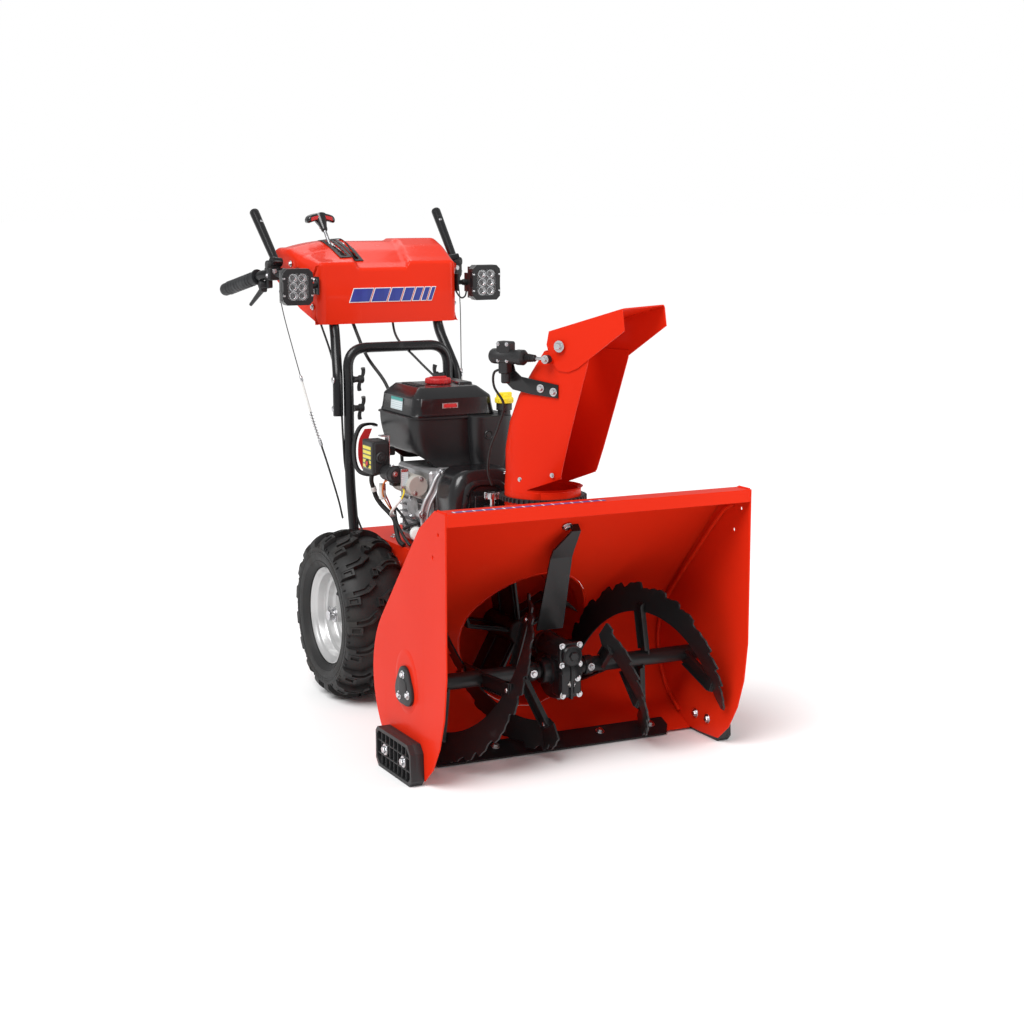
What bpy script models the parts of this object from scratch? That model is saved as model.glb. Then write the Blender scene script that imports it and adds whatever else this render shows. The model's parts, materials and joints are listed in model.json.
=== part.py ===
"""Two-stage snow blower, 28 inch: collecting head, chute, engine, tractor, handles and controls.

Metres, +Z up. The auger housing opens towards -Y and the operator stands at +Y. Lengths along Y
are counted from the housing's front edge; the last step centres the whole machine on the origin.
"r" is the operator's right hand (-X), "l" the left hand (+X).
"""
import math

import bmesh
import bpy
from mathutils import Matrix, Vector

# ---- driving dimensions -------------------------------------------------------------------------
GAP = 0.0003             # between pieces that touch
RUN = 0.0003             # radial running clearance of a shaft
SHEET = 0.003            # housing sheet
HEAD_W = 0.715           # over the side plates
PLATE_T = 0.0035
HEAD_H = 0.586           # top of the front bar
BEND_DROP = 0.052        # from there down to the sheet's upper bend
AUGER_Y, AUGER_Z = 0.200, 0.190
AUGER_R = 0.172
RIBBON = 0.066           # radial width of a flight
RIBBON_T = 0.004
AUGER_GAP = 0.0025       # flight tip to scraper
SCRAPER_T, SCRAPER_L, SCRAPER_W = 0.004, 0.060, 0.600
SCRAPER_SLOPE = math.radians(22)
BACK_SLOPE = math.radians(47)
SHAFT_R = 0.0127
TUBE_T = 0.0045
IMP_Z = 0.232            # impeller axis height
IMP_R = 0.149
CAN_R = 0.155            # inside the impeller housing
CAN_END = 0.525
CAN_STEPS = 36
COLLAR_X, COLLAR_Y = 0.085, 0.440
COLLAR_R = 0.080         # inside the discharge collar
COLLAR_TOP = 0.548
CHUTE_HEADING = math.radians(28)
CHUTE_W = 0.078          # half width of the chute
PIVOT_F, PIVOT_Z = 0.106, 0.878
GEAR_TEETH, PINION_TEETH = 48, 8
GEAR_R = 0.098
WHEEL_R = 0.203
TYRE_W = 0.160
AXLE_Y = 0.854
WHEEL_X = 0.220          # middle of the tyre
RIM_R = 0.105
WHEEL_STEPS = 28
FRAME_W = 0.130          # half width of the tractor frame
FRAME_TOP = 0.375
ENGINE_W = 0.125         # half width of the tank shroud
ENGINE_Y, ENGINE_L = 0.700, 0.225
SHROUD_Z, SHROUD_TOP = 0.565, 0.687
CRANK_Z = 0.490
HANDLE_R = 0.0127
HOOP_X, HOOP_TOP = 0.136, 0.823
GRIP_R = 0.0175
DASH_W, DASH_FRONT, DASH_REAR = 0.190, 1.125, 1.362
DASH_T = 0.003

RIGHT, LEFT = -1, 1
SIDES = ((RIGHT, "r"), (LEFT, "l"))
HALF_W = HEAD_W / 2
INNER_W = HALF_W - PLATE_T - GAP
DRUM_R = AUGER_R + AUGER_GAP + SCRAPER_T + GAP
CAN_T = SHEET
COLLAR_OUT = COLLAR_R + SHEET

TURN = {"x": (math.pi / 2, 0, math.pi / 2), "y": (math.pi / 2, 0, 0), "z": (0, 0, 0)}
ALONG = {"x": (0, math.pi / 2, 0), "y": (-math.pi / 2, 0, 0), "z": (0, 0, 0)}

for old in list(bpy.data.objects):
    bpy.data.objects.remove(old)
parts = bpy.data.collections.new("snow_blower")
tools = bpy.data.collections.new("cutters")
bpy.context.scene.collection.children.link(parts)
bpy.context.scene.collection.children.link(tools)

base = bpy.data.objects.new("machine_origin", None)
parts.objects.link(base)

COLOURS = {
    "paint_red": ((0.80, 0.055, 0.012), 0.30, 0.0),
    "plastic_red": ((0.78, 0.06, 0.015), 0.35, 0.0),
    "cap_red": ((0.62, 0.03, 0.03), 0.45, 0.0),
    "paint_black": ((0.020, 0.020, 0.022), 0.35, 0.0),
    "plastic_black": ((0.025, 0.025, 0.027), 0.50, 0.0),
    "rubber": ((0.018, 0.018, 0.018), 0.85, 0.0),
    "rim_silver": ((0.62, 0.62, 0.62), 0.35, 0.6),
    "steel": ((0.55, 0.55, 0.57), 0.30, 1.0),
    "cast": ((0.42, 0.42, 0.43), 0.50, 0.8),
    "cap_yellow": ((0.85, 0.72, 0.03), 0.45, 0.0),
}


def finish(slot):
    """The material of one finish, made at its first use."""
    if slot in bpy.data.materials:
        return bpy.data.materials[slot]
    colour, rough, metal = COLOURS[slot]
    made = bpy.data.materials.new(slot)
    made.use_nodes = True
    shader = made.node_tree.nodes["Principled BSDF"]
    shader.inputs["Base Color"].default_value = (*colour, 1)
    shader.inputs["Roughness"].default_value = rough
    shader.inputs["Metallic"].default_value = metal
    made.diffuse_color = (*colour, 1)
    return made


def place(obj, slot, at=(0, 0, 0), turn=(0, 0, 0), parent=None):
    """Puts an object in the machine, or with no slot among the cutters."""
    obj.location = at
    obj.rotation_euler = turn
    obj.parent = parent or base
    if slot is None:
        tools.objects.link(obj)
        obj.hide_render = True
        obj.display_type = "WIRE"
    else:
        parts.objects.link(obj)
        obj.data.materials.append(finish(slot))
    return obj


def mesh_object(name, bm, smooth=None):
    mesh = bpy.data.meshes.new(name)
    bm.to_mesh(mesh)
    bm.free()
    if smooth:
        mesh.shade_smooth()
        mesh.set_sharp_from_angle(angle=math.radians(smooth))
    return bpy.data.objects.new(name, mesh)


def box(name, slot, size, at, turn=(0, 0, 0), bevel=0.0, parent=None):
    bm = bmesh.new()
    bmesh.ops.create_cube(bm, size=1)
    bmesh.ops.scale(bm, vec=size, verts=bm.verts)
    obj = place(mesh_object(name, bm), slot, at, turn, parent)
    if bevel:
        soften(obj, bevel)
    return obj


def soften(obj, width, segments=2):
    edge = obj.modifiers.new("soften", "BEVEL")
    edge.width = width
    edge.segments = segments
    edge.limit_method = "ANGLE"
    edge.angle_limit = math.radians(40)


def rod(name, slot, radius, start, end, sides=24, radius_end=None, parent=None):
    """A cylinder or cone between two points."""
    start, end = Vector(start), Vector(end)
    bm = bmesh.new()
    last = radius if radius_end is None else radius_end
    length = (end - start).length
    bmesh.ops.create_cone(bm, cap_ends=True, segments=sides, radius1=radius, radius2=last, depth=length)
    turn = (end - start).to_track_quat("Z", "Y").to_euler()
    return place(mesh_object(name, bm, 40), slot, (start + end) / 2, turn, parent)


def lathe(name, slot, profile, at, along, steps=32, closed=False, parent=None):
    """Turns (radius, height) points, listed down the outer side, about an axis."""
    bm = bmesh.new()
    points = [bm.verts.new((radius, 0, height)) for radius, height in profile]
    for here, there in zip(points, points[1:]):
        bm.edges.new((here, there))
    if closed:
        bm.edges.new((points[-1], points[0]))
    obj = place(mesh_object(name, bm), slot, at, ALONG[along], parent)
    turned = obj.modifiers.new("turned", "SCREW")
    turned.steps = turned.render_steps = steps
    turned.use_merge_vertices = True
    turned.merge_threshold = 0.00001
    turned.use_smooth_shade = True
    return obj


def flat(name, slot, loops, thick, at, facing, parent=None, solid=False):
    """A flat outline with its holes, extruded to both sides of its plane."""
    curve = bpy.data.curves.new(name, "CURVE")
    curve.dimensions = "2D"
    curve.fill_mode = "BOTH"
    curve.extrude = thick / 2
    curve.render_resolution_u = 0
    for loop in loops:
        line = curve.splines.new("POLY")
        line.points.add(len(loop) - 1)
        line.use_cyclic_u = True
        for point, (u, v) in zip(line.points, loop):
            point.co = (u, v, 0, 1)
    obj = bpy.data.objects.new(name, curve)
    turn = TURN[facing] if isinstance(facing, str) else facing
    place(obj, slot, at, turn, parent)
    return to_mesh(obj) if solid else obj


def tube(name, slot, points, radius, sides=2, parent=None, solid=False):
    """A bent tube with filled ends along a polyline."""
    curve = bpy.data.curves.new(name, "CURVE")
    curve.dimensions = "3D"
    curve.bevel_depth = radius
    curve.bevel_resolution = sides
    curve.use_fill_caps = True
    curve.render_resolution_u = 0
    line = curve.splines.new("POLY")
    line.points.add(len(points) - 1)
    for point, where in zip(line.points, points):
        point.co = (*where, 1)
    obj = place(bpy.data.objects.new(name, curve), slot, parent=parent)
    return to_mesh(obj) if solid else obj


def to_mesh(obj):
    """The same object as a mesh, so that it can be cut or joined."""
    graph = bpy.context.evaluated_depsgraph_get()
    mesh = bpy.data.meshes.new_from_object(obj.evaluated_get(graph))
    bm = bmesh.new()
    bm.from_mesh(mesh)
    bmesh.ops.remove_doubles(bm, verts=bm.verts, dist=0.00001)
    bm.to_mesh(mesh)
    bm.free()
    name = obj.name
    obj.name = name + "_curve"
    made = bpy.data.objects.new(name, mesh)
    made.parent = obj.parent
    made.matrix_local = obj.matrix_local
    for home in obj.users_collection:
        home.objects.link(made)
    made.hide_render = obj.hide_render
    made.display_type = obj.display_type
    bpy.data.objects.remove(obj)
    return made


def boolean(obj, operation, *others):
    for other in others:
        step = obj.modifiers.new(operation.lower(), "BOOLEAN")
        step.operation = operation
        step.object = other
    return obj


def cut(obj, *cutters):
    return boolean(obj, "DIFFERENCE", *cutters)


def join(obj, *pieces):
    return boolean(obj, "UNION", *pieces)


def circle(radius, count=16, centre=(0, 0), start=0.0):
    steps = [start + 2 * math.pi * i / count for i in range(count)]
    return [(centre[0] + radius * math.cos(a), centre[1] + radius * math.sin(a)) for a in steps]


def arc(centre, radius, first, last, count):
    """Points of an arc, angles in degrees."""
    angles = [math.radians(first + (last - first) * i / (count - 1)) for i in range(count)]
    return [(centre[0] + radius * math.cos(a), centre[1] + radius * math.sin(a)) for a in angles]


def smooth_path(points, per_leg=6):
    """A smooth curve through the given points, as a list of points."""
    ends = [points[0], *points, points[-1]]
    out = []
    for i in range(len(points) - 1):
        a, b, c, d = (Vector(p) for p in ends[i:i + 4])
        for k in range(per_leg):
            t = k / per_leg
            out.append(0.5 * (2 * b + (c - a) * t + (2 * a - 5 * b + 4 * c - d) * t ** 2
                              + (3 * b - a - 3 * c + d) * t ** 3))
    out.append(Vector(points[-1]))
    return out


def folded_sheet(name, slot, path, width, thick, middle_x=0.0):
    """A sheet whose (y, z) path is swept across X, thickened on the path's left side."""
    bm = bmesh.new()
    rows = []
    for x in (middle_x - width / 2, middle_x + width / 2):
        rows.append([bm.verts.new((x, y, z)) for y, z in path])
    for i in range(len(path) - 1):
        bm.faces.new((rows[0][i], rows[0][i + 1], rows[1][i + 1], rows[1][i]))
    obj = place(mesh_object(name, bm), slot)
    wall = obj.modifiers.new("wall", "SOLIDIFY")
    wall.thickness = thick
    wall.offset = -1
    wall.use_even_offset = True
    return obj


# ---- collecting head ----------------------------------------------------------------------------
AXIS = (AUGER_Y, AUGER_Z)


def back_path():
    """The inner face of the housing sheet: front lip, flange, upper bend, slope, drum, floor."""
    normal = math.pi / 2 - BACK_SLOPE
    bend_z = HEAD_H - BEND_DROP
    reach = (DRUM_R - (bend_z - AUGER_Z) * math.sin(normal)) / math.cos(normal)
    bend = (AUGER_Y + reach, bend_z)
    drum = arc(AXIS, DRUM_R, math.degrees(normal), math.degrees(SCRAPER_SLOPE) - 90, 18)
    end = drum[-1]
    run = 0.045
    floor = (end[0] - run * math.cos(SCRAPER_SLOPE), end[1] - run * math.sin(SCRAPER_SLOPE))
    top = HEAD_H - SHEET
    return [(SHEET, top - 0.024), (SHEET, top), (0.046, top), bend, *drum, floor]


def side_outline():
    """Side plate: straight front, chamfered toe, flat foot, round back, sloping top."""
    rear_r = DRUM_R + SHEET + 0.0015
    toe = [(0.0, 0.25), (0.012, 0.165), (0.036, 0.098), (0.070, 0.045), (0.112, 0.010)]
    foot = [(0.188, 0.006), (0.262, 0.008)]
    back = arc(AXIS, rear_r, -62, 90 - math.degrees(BACK_SLOPE), 14)
    top = [(0.130, HEAD_H - 0.048), (0.052, HEAD_H), (0.0, HEAD_H)]
    return toe + foot + back + top


def head():
    path = back_path()
    sheet = folded_sheet("housing_sheet", "paint_red", path, 2 * INNER_W, SHEET)
    opening = rod("can_opening", None, CAN_R + CAN_T + 0.0012, (0, 0.14, IMP_Z), (0, 0.45, IMP_Z), CAN_STEPS)
    cut(sheet, opening)
    holes = [circle(SHAFT_R + RUN, 16, AXIS), circle(0.004, 8, (0.035, HEAD_H - 0.046)),
             circle(0.004, 8, (0.062, HEAD_H - 0.096))]
    for side, tag in SIDES:
        at = (side * (HALF_W - PLATE_T / 2), 0, 0)
        flat("side_plate_" + tag, "paint_red", [side_outline(), *holes], PLATE_T, at, "x")
        shoe = [(0.118, 0.0), (0.285, 0.0), (0.300, 0.014), (0.300, 0.078), (0.290, 0.088),
                (0.128, 0.088), (0.112, 0.070), (0.108, 0.012)]
        depth = 0.030
        made = flat("skid_shoe_" + tag, "plastic_black", [shoe], depth,
                    (side * (HALF_W + GAP + depth / 2), 0, 0), "x", solid=True)
        soften(made, 0.0025, 1)
        cover = [(0.0, 0.012), (0.040, 0.012), (0.047, 0.0), (0.0135, 0.0), (0.0135, 0.0095), (0.0, 0.0095)]
        turned = lathe("bearing_cover_" + tag, "plastic_black", cover, (side * (HALF_W + GAP), *AXIS), "x", 20)
        if side == RIGHT:
            turned.rotation_euler = (0, -math.pi / 2, 0)

    can = lathe("impeller_housing", "paint_red",
                [(CAN_R + CAN_T, CAN_END), (CAN_R + CAN_T, 0.2), (CAN_R, 0.2), (CAN_R, CAN_END - SHEET),
                 (0.022, CAN_END - SHEET), (0.022, CAN_END)], (0, 0, IMP_Z), "y", CAN_STEPS, closed=True)
    blank = rod("collar_blank", None, COLLAR_OUT, (COLLAR_X, COLLAR_Y, IMP_Z + 0.02),
                (COLLAR_X, COLLAR_Y, COLLAR_TOP), 28)
    bore = rod("collar_bore", None, COLLAR_R, (COLLAR_X, COLLAR_Y, IMP_Z + 0.03),
               (COLLAR_X, COLLAR_Y, COLLAR_TOP + 0.1), 28)
    inside = rod("can_bore", None, CAN_R, (0, 0.1, IMP_Z), (0, CAN_END - SHEET, IMP_Z), CAN_STEPS)
    edge = [(-0.05, HEAD_H), *path[3:-1], (0.20, -0.05), (-0.05, -0.05)]
    drum_room = flat("drum_room", None, [edge], 0.6, (0, 0, 0), "x", solid=True)
    join(can, blank)
    cut(can, bore, inside, drum_room)

    low = path[-2]
    middle = (low[0] - SCRAPER_L / 2 * math.cos(SCRAPER_SLOPE) + SCRAPER_T / 2 * -math.sin(SCRAPER_SLOPE),
              low[1] - SCRAPER_L / 2 * math.sin(SCRAPER_SLOPE) + SCRAPER_T / 2 * math.cos(SCRAPER_SLOPE))
    lift = GAP
    half, chamfer = SCRAPER_W / 2, 0.018
    strip = [(-half, 0.0), (-half + chamfer, -SCRAPER_L / 2), (half - chamfer, -SCRAPER_L / 2), (half, 0.0),
             (half, SCRAPER_L / 2 - 0.001), (-half, SCRAPER_L / 2 - 0.001)]
    flat("scraper_bar", "paint_black", [strip], SCRAPER_T,
         (0, middle[0] - lift * math.sin(SCRAPER_SLOPE), middle[1] + lift * math.cos(SCRAPER_SLOPE)),
         (SCRAPER_SLOPE, 0, 0))


# ---- gearbox, augers, impeller ------------------------------------------------------------------
WHEEL_CASE_R = 0.054
WORM_CASE_R = 0.028
CASE_HALF = 0.024
BOSS_HALF = 0.046
WORM_R = 0.0105
WORM_WHEEL_R = IMP_Z - AUGER_Z - WORM_R - 0.001
AUGER_IN, AUGER_OUT = BOSS_HALF + 0.002, 0.3485
# start and end angle of each flight (degrees, 0 forwards, 90 up), its x at 0 degrees, x per degree
FLIGHTS = {
    "r": ((105, -105, 0.175, 0.00117), (285, 62, 0.385, 0.00117)),
    "l": ((45, -112, 0.105, 0.00117), (222, -40, 0.300, 0.00105)),
}


def flight(name, side, first, last, x_zero, per_degree):
    """A helical ribbon: a rectangle carried round the auger axis while it moves along X."""
    count = max(8, round(abs(first - last) / 10))
    bm = bmesh.new()
    rings = []
    for i in range(count + 1):
        degrees = first + (last - first) * i / count
        x = side * (x_zero - per_degree * degrees)
        a = math.radians(degrees)
        ring = []
        for radius, shift in ((AUGER_R - RIBBON, -1), (AUGER_R, -1), (AUGER_R, 1), (AUGER_R - RIBBON, 1)):
            ring.append(bm.verts.new((x + shift * RIBBON_T / 2, -radius * math.cos(a), radius * math.sin(a))))
        rings.append(ring)
    for one, two in zip(rings, rings[1:]):
        for k in range(4):
            bm.faces.new((one[k], one[(k + 1) % 4], two[(k + 1) % 4], two[k]))
    bm.faces.new(rings[0])
    bm.faces.new(rings[-1])
    bmesh.ops.recalc_face_normals(bm, faces=bm.faces)
    return place(mesh_object(name, bm), None, (0, AUGER_Y, AUGER_Z))


def arm(name, side, degrees, x_zero, per_degree):
    """A flat bar from the auger tube to its flight."""
    x = side * (x_zero - per_degree * degrees)
    reach = AUGER_R - RIBBON + 0.016
    a = math.radians(degrees)
    middle = (x, AUGER_Y - reach / 2 * math.cos(a), AUGER_Z + reach / 2 * math.sin(a))
    return box(name, None, (0.0056, reach, 0.028), middle, (-a, 0, 0))


def augers():
    shaft = [(0, HALF_W + 0.008), (SHAFT_R, HALF_W + 0.008), (SHAFT_R, 0.009), (WORM_WHEEL_R, 0.009),
             (WORM_WHEEL_R, -0.009), (SHAFT_R, -0.009), (SHAFT_R, -HALF_W - 0.008), (0, -HALF_W - 0.008)]
    lathe("auger_shaft", "steel", shaft, (0, *AXIS), "x", 16)
    for side, tag in SIDES:
        body = rod("auger_" + tag, "paint_black", SHAFT_R + RUN + TUBE_T, (side * AUGER_IN, *AXIS),
                   (side * AUGER_OUT, *AXIS), 16)
        for number, (first, last, x_zero, per_degree) in enumerate(FLIGHTS[tag]):
            name = f"flight_{tag}_{number}"
            pieces = [flight(name, side, first, last, x_zero, per_degree)]
            for end, angle in (("in", first - 14), ("out", last + 16)):
                pieces.append(arm(name + "_arm_" + end, side, angle, x_zero, per_degree))
            join(body, *pieces)
        cut(body, rod("auger_bore_" + tag, None, SHAFT_R + RUN, (side * (AUGER_IN - 0.01), *AXIS),
                      (side * (AUGER_OUT + 0.01), *AXIS), 16))

    case = rod("auger_gearbox", "paint_black", WHEEL_CASE_R, (-CASE_HALF, *AXIS), (CASE_HALF, *AXIS), 24)
    boss = rod("case_boss", None, WORM_CASE_R, (-BOSS_HALF, *AXIS), (BOSS_HALF, *AXIS), 16)
    worm_tube = rod("case_worm_tube", None, WORM_CASE_R, (0, 0.128, IMP_Z), (0, 0.262, IMP_Z), 16)
    wheel_room = rod("case_wheel_room", None, WORM_WHEEL_R + 0.003, (-0.012, *AXIS), (0.012, *AXIS), 16)
    worm_room = rod("case_worm_room", None, WORM_R + 0.004, (0, 0.150, IMP_Z), (0, 0.245, IMP_Z), 12)
    shaft_bore = rod("case_shaft_bore", None, SHAFT_R + RUN, (-0.1, *AXIS), (0.1, *AXIS), 16)
    worm_bore = rod("case_worm_bore", None, IMP_SHAFT_R + RUN, (0, 0.2, IMP_Z), (0, 0.3, IMP_Z), 16)
    join(case, boss, worm_tube)
    cut(case, wheel_room, worm_room, shaft_bore, worm_bore)

    foot_z = HEAD_H - 0.081
    foot = (AUGER_Y + (DRUM_R - 0.0005 - (foot_z - AUGER_Z) * math.cos(BACK_SLOPE)) / math.sin(BACK_SLOPE), foot_z)
    back = (-math.cos(BACK_SLOPE) * 0.028, math.sin(BACK_SLOPE) * 0.028)
    path = [(foot[0] + back[0] - 0.0006, foot[1] + back[1] - 0.0006), (foot[0] - 0.0006, foot[1] - 0.0006),
            (0.168, 0.44), (0.222, IMP_Z + WORM_CASE_R + 0.004)]
    folded_sheet("gearbox_support", "paint_black", path[::-1], 0.050, 0.004, -0.010)


IMP_SHAFT_R = 0.0095
FAN_FRONT, FAN_REAR = 0.381, 0.514
BLADES = 5


def impeller():
    shaft = [(0, 0.590), (IMP_SHAFT_R, 0.590), (IMP_SHAFT_R, 0.228), (WORM_R, 0.228), (WORM_R, 0.160), (0, 0.160)]
    line = lathe("impeller_shaft", "steel", shaft, (0, 0, IMP_Z), "y", 16)
    join(line, pulley("impeller_pulley", (0, BELT_Y, IMP_Z), IMP_PULLEY_R, IMP_SHAFT_R - 0.003, None))
    hub = 0.024
    half = 0.0025
    outline = []
    for k in range(BLADES):
        a = 2 * math.pi * k / BLADES + math.radians(25)
        out = Vector((math.cos(a), math.sin(a)))
        across = Vector((-math.sin(a), math.cos(a)))
        tip = IMP_R - 0.022
        reach = math.sqrt(IMP_R ** 2 - 0.034 ** 2) - 0.001
        for along, side in ((hub, -half), (tip, -half), (reach, -0.032), (reach + 0.0005, -0.026),
                            (tip + 0.006, half), (hub, half)):
            outline.append(tuple(out * along + across * side))
    flat("impeller_fan", "paint_black", [outline, circle(IMP_SHAFT_R + RUN + 0.0002, 16)], FAN_REAR - FAN_FRONT,
               (0, (FAN_FRONT + FAN_REAR) / 2, IMP_Z), "y")


IMP_PULLEY_R, CRANK_PULLEY_R = 0.095, 0.036
PULLEY_W = 0.022
BELT_Y = 0.570


def pulley(name, at, radius, bore, slot="cast"):
    half = PULLEY_W / 2
    profile = [(radius, half), (radius - 0.010, 0.003), (radius - 0.010, -0.003), (radius, -half),
               (bore + 0.012, -half), (bore, -half), (bore, half), (bore + 0.012, half)]
    return lathe(name, slot, profile, at, "y", 24, closed=True)


def belt():
    """The auger drive belt: the outline round both pulleys, with its inside cut out."""
    low, high = (0, IMP_Z), (0, CRANK_Z)
    lean = math.degrees(math.asin((IMP_PULLEY_R - CRANK_PULLEY_R) / (CRANK_Z - IMP_Z)))

    def round_both(extra):
        big = arc(low, IMP_PULLEY_R + extra, 180 - lean, 360 + lean, 18)
        small = arc(high, CRANK_PULLEY_R + extra, lean, 180 - lean, 10)
        return big + small

    flat("drive_belt", "rubber", [round_both(0.0065), round_both(0.0015)], 0.009, (0, BELT_Y, 0), "y")


# ---- discharge ----------------------------------------------------------------------------------
turret = bpy.data.objects.new("chute_axis", None)
parts.objects.link(turret)
turret.parent = base
turret.location = (COLLAR_X, COLLAR_Y, 0)
turret.rotation_euler = (0, 0, CHUTE_HEADING)
# In the turret's own axes the chute throws towards -Y, and +X is its left hand.
CHUTE_T = 0.0025
# height, rear reach, front reach, half width, squareness
CHUTE_FOOT = COLLAR_OUT + 0.0015      # turns round the collar
CHUTE_RINGS = ((0.506, CHUTE_FOOT, CHUTE_FOOT, CHUTE_FOOT, 2.0), (0.5495, CHUTE_FOOT, CHUTE_FOOT, CHUTE_FOOT, 2.0),
               (0.590, 0.078, 0.140, 0.0815, 2.6), (0.640, 0.070, 0.155, 0.0805, 3.6),
               (0.700, 0.053, 0.170, 0.0805, 4.6), (0.760, 0.027, 0.190, 0.0805, 5.0),
               (0.812, -0.007, 0.210, 0.0805, 5.0), (0.862, -0.043, 0.230, 0.0805, 5.0))


def chute():
    bm = bmesh.new()
    count = 28
    rings = []
    for height, rear, front, half, square in CHUTE_RINGS:
        ring = []
        middle, depth = (rear - front) / 2, (rear + front) / 2
        for k in range(count):
            a = 2 * math.pi * (k + 0.5) / count
            c, s = math.cos(a), math.sin(a)
            x = half * math.copysign(abs(c) ** (2 / square), c)
            y = depth * math.copysign(abs(s) ** (2 / square), s)
            ring.append(bm.verts.new((x, middle + y, height)))
        rings.append(ring)
    for low, high in zip(rings, rings[1:]):
        for k in range(count):
            n = (k + 1) % count
            bm.faces.new((low[k], low[n], high[n], high[k]))
    body = place(mesh_object("chute", bm, 30), "paint_red", parent=turret)
    wall = body.modifiers.new("wall", "SOLIDIFY")
    wall.thickness = CHUTE_T
    wall.offset = 1
    front = [(-0.014, 0.5525), (-0.097, 0.583), (-0.174, 0.845), (-0.180, 0.95), (-0.4, 0.95), (-0.4, 0.5525)]
    cut(body, flat("chute_mouth", None, [front], 0.4, (0, 0, 0), "x", turret, solid=True))

    outer = CHUTE_W + CHUTE_T + 0.0028
    roof_t = 0.0025
    half = outer + roof_t
    side = [(-0.068, 0.880), (-0.074, 0.909), (-0.262, 0.965), (-0.268, 0.918), (-0.178, 0.853), (-0.150, 0.832),
            (-0.125, 0.822), (-0.100, 0.824), (-0.080, 0.842)]
    hood = flat("deflector", "paint_red", [side], 2 * half, (0, 0, 0), "x", turret, solid=True)
    room = [(-0.03, 0.78), (-0.03, 0.8935), (-0.0745, 0.9066 - 0.0003), (-0.30, 0.9735), (-0.30, 0.78)]
    cut(hood, flat("deflector_room", None, [room], 2 * outer, (0, 0, 0), "x", turret, solid=True))
    for bend in (-1, 1):
        bolt = rod(f"deflector_pin_{bend}", None, 0.007, (bend * (half - 0.001), -PIVOT_F, PIVOT_Z),
                   (bend * (half + 0.008), -PIVOT_F, PIVOT_Z), 12)
        bolt.parent = turret
        join(hood, bolt)
    lug = rod("deflector_lug", None, 0.008, (-half + 0.001, -0.080, 0.846), (-half - 0.006, -0.080, 0.846), 12)
    lug.parent = turret
    join(hood, lug)

    plane = -(CHUTE_W + 0.0025) - CHUTE_T - GAP - 0.004
    hook = [(-0.099, 0.764), (-0.099, 0.793), (-0.045, 0.800), (0.000, 0.806), (0.018, 0.820), (0.022, 0.835),
            (0.022, 0.862), (0.052, 0.862), (0.052, 0.812), (0.040, 0.786), (0.015, 0.774), (-0.030, 0.768)]
    bracket = flat("actuator_bracket", "paint_black", [hook], 0.004, (plane + 0.002, 0, 0), "x", turret, solid=True)
    motor = rod("actuator_case", None, 0.017, (plane - 0.0145, 0.055, 0.850), (plane - 0.0145, -0.020, 0.850), 16)
    gear_case = box("actuator_gear_case", None, (0.026, 0.034, 0.044), (plane - 0.013, 0.030, 0.860))
    throat = rod("actuator_throat", None, 0.0045, (plane - 0.0145, 0.043, 0.850), (plane - 0.0145, -0.05, 0.850), 12)
    for piece in (motor, gear_case, throat):
        piece.parent = turret
    join(bracket, motor, gear_case)
    cut(bracket, throat)
    link = rod("actuator_rod", "steel", 0.004, (plane - 0.0145, 0.016, 0.850), (plane - 0.0145, -0.0785, 0.850), 12,
               parent=turret)
    eye = rod("rod_eye", None, 0.0078, (plane - 0.0190, -0.080, 0.8495), (plane - 0.0095, -0.080, 0.8495), 15)
    eye.parent = turret
    join(link, eye)

    teeth = gear_outline(GEAR_TEETH, GEAR_R)
    flat("chute_gear", "plastic_black", [teeth, circle(COLLAR_OUT + 0.0055, 24)], 0.010, (0, 0, 0.5275), "z", turret)


def gear_outline(count, pitch_r):
    """Trapezoid teeth with room to run."""
    pitch = 2 * math.pi / count
    width = pitch * 0.5 - 0.0016 / pitch_r
    points = []
    for k in range(count):
        middle = k * pitch
        for shift, radius in ((-0.62, -0.0030), (-0.34, 0.0022), (0.34, 0.0022), (0.62, -0.0030)):
            a = middle + shift * width
            points.append(((pitch_r + radius) * math.cos(a), (pitch_r + radius) * math.sin(a)))
    return points


PINION_R = GEAR_R * PINION_TEETH / GEAR_TEETH
MOTOR_BEARING = math.radians(150)     # where the pinion stands, seen from above, from +X


def chute_drive():
    reach = GEAR_R + PINION_R + 0.0006
    where = Vector((COLLAR_X + reach * math.cos(MOTOR_BEARING), COLLAR_Y + reach * math.sin(MOTOR_BEARING), 0))
    # a tooth of the ring points at CHUTE_HEADING plus whole pitches; the pinion shows it a gap
    pitch = 2 * math.pi / GEAR_TEETH
    off = ((MOTOR_BEARING - CHUTE_HEADING + pitch / 2) % pitch) - pitch / 2
    own = MOTOR_BEARING + math.pi + math.pi / PINION_TEETH + off * GEAR_TEETH / PINION_TEETH
    pinion = flat("chute_pinion", "steel", [gear_outline(PINION_TEETH, PINION_R)], 0.014, (0, 0, 0), "z", solid=True)
    pinion.location = (where.x, where.y, 0.5275)
    pinion.rotation_euler = (0, 0, own)
    stem = rod("pinion_stem", None, 0.006, (where.x, where.y, 0.500), (where.x, where.y, 0.524), 12)
    join(pinion, stem)
    motor = box("chute_motor", "plastic_black", (0.042, 0.056, 0.060), (where.x, where.y, 0.470),
                (0, 0, MOTOR_BEARING))
    foot_low = IMP_Z + CAN_R + CAN_T + 0.002
    join(motor, box("motor_foot", None, (0.036, 0.006, 0.445 - foot_low),
                    (where.x, where.y + 0.012, (0.445 + foot_low) / 2)))
    cut(motor, rod("motor_bore", None, 0.0066, (where.x, where.y, 0.495), (where.x, where.y, 0.56), 12))


# ---- tractor ------------------------------------------------------------------------------------
FRAME_FRONT, FRAME_REAR, FRAME_LOW = CAN_END + GAP, 1.035, 0.118
FRAME_T = 0.003


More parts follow.
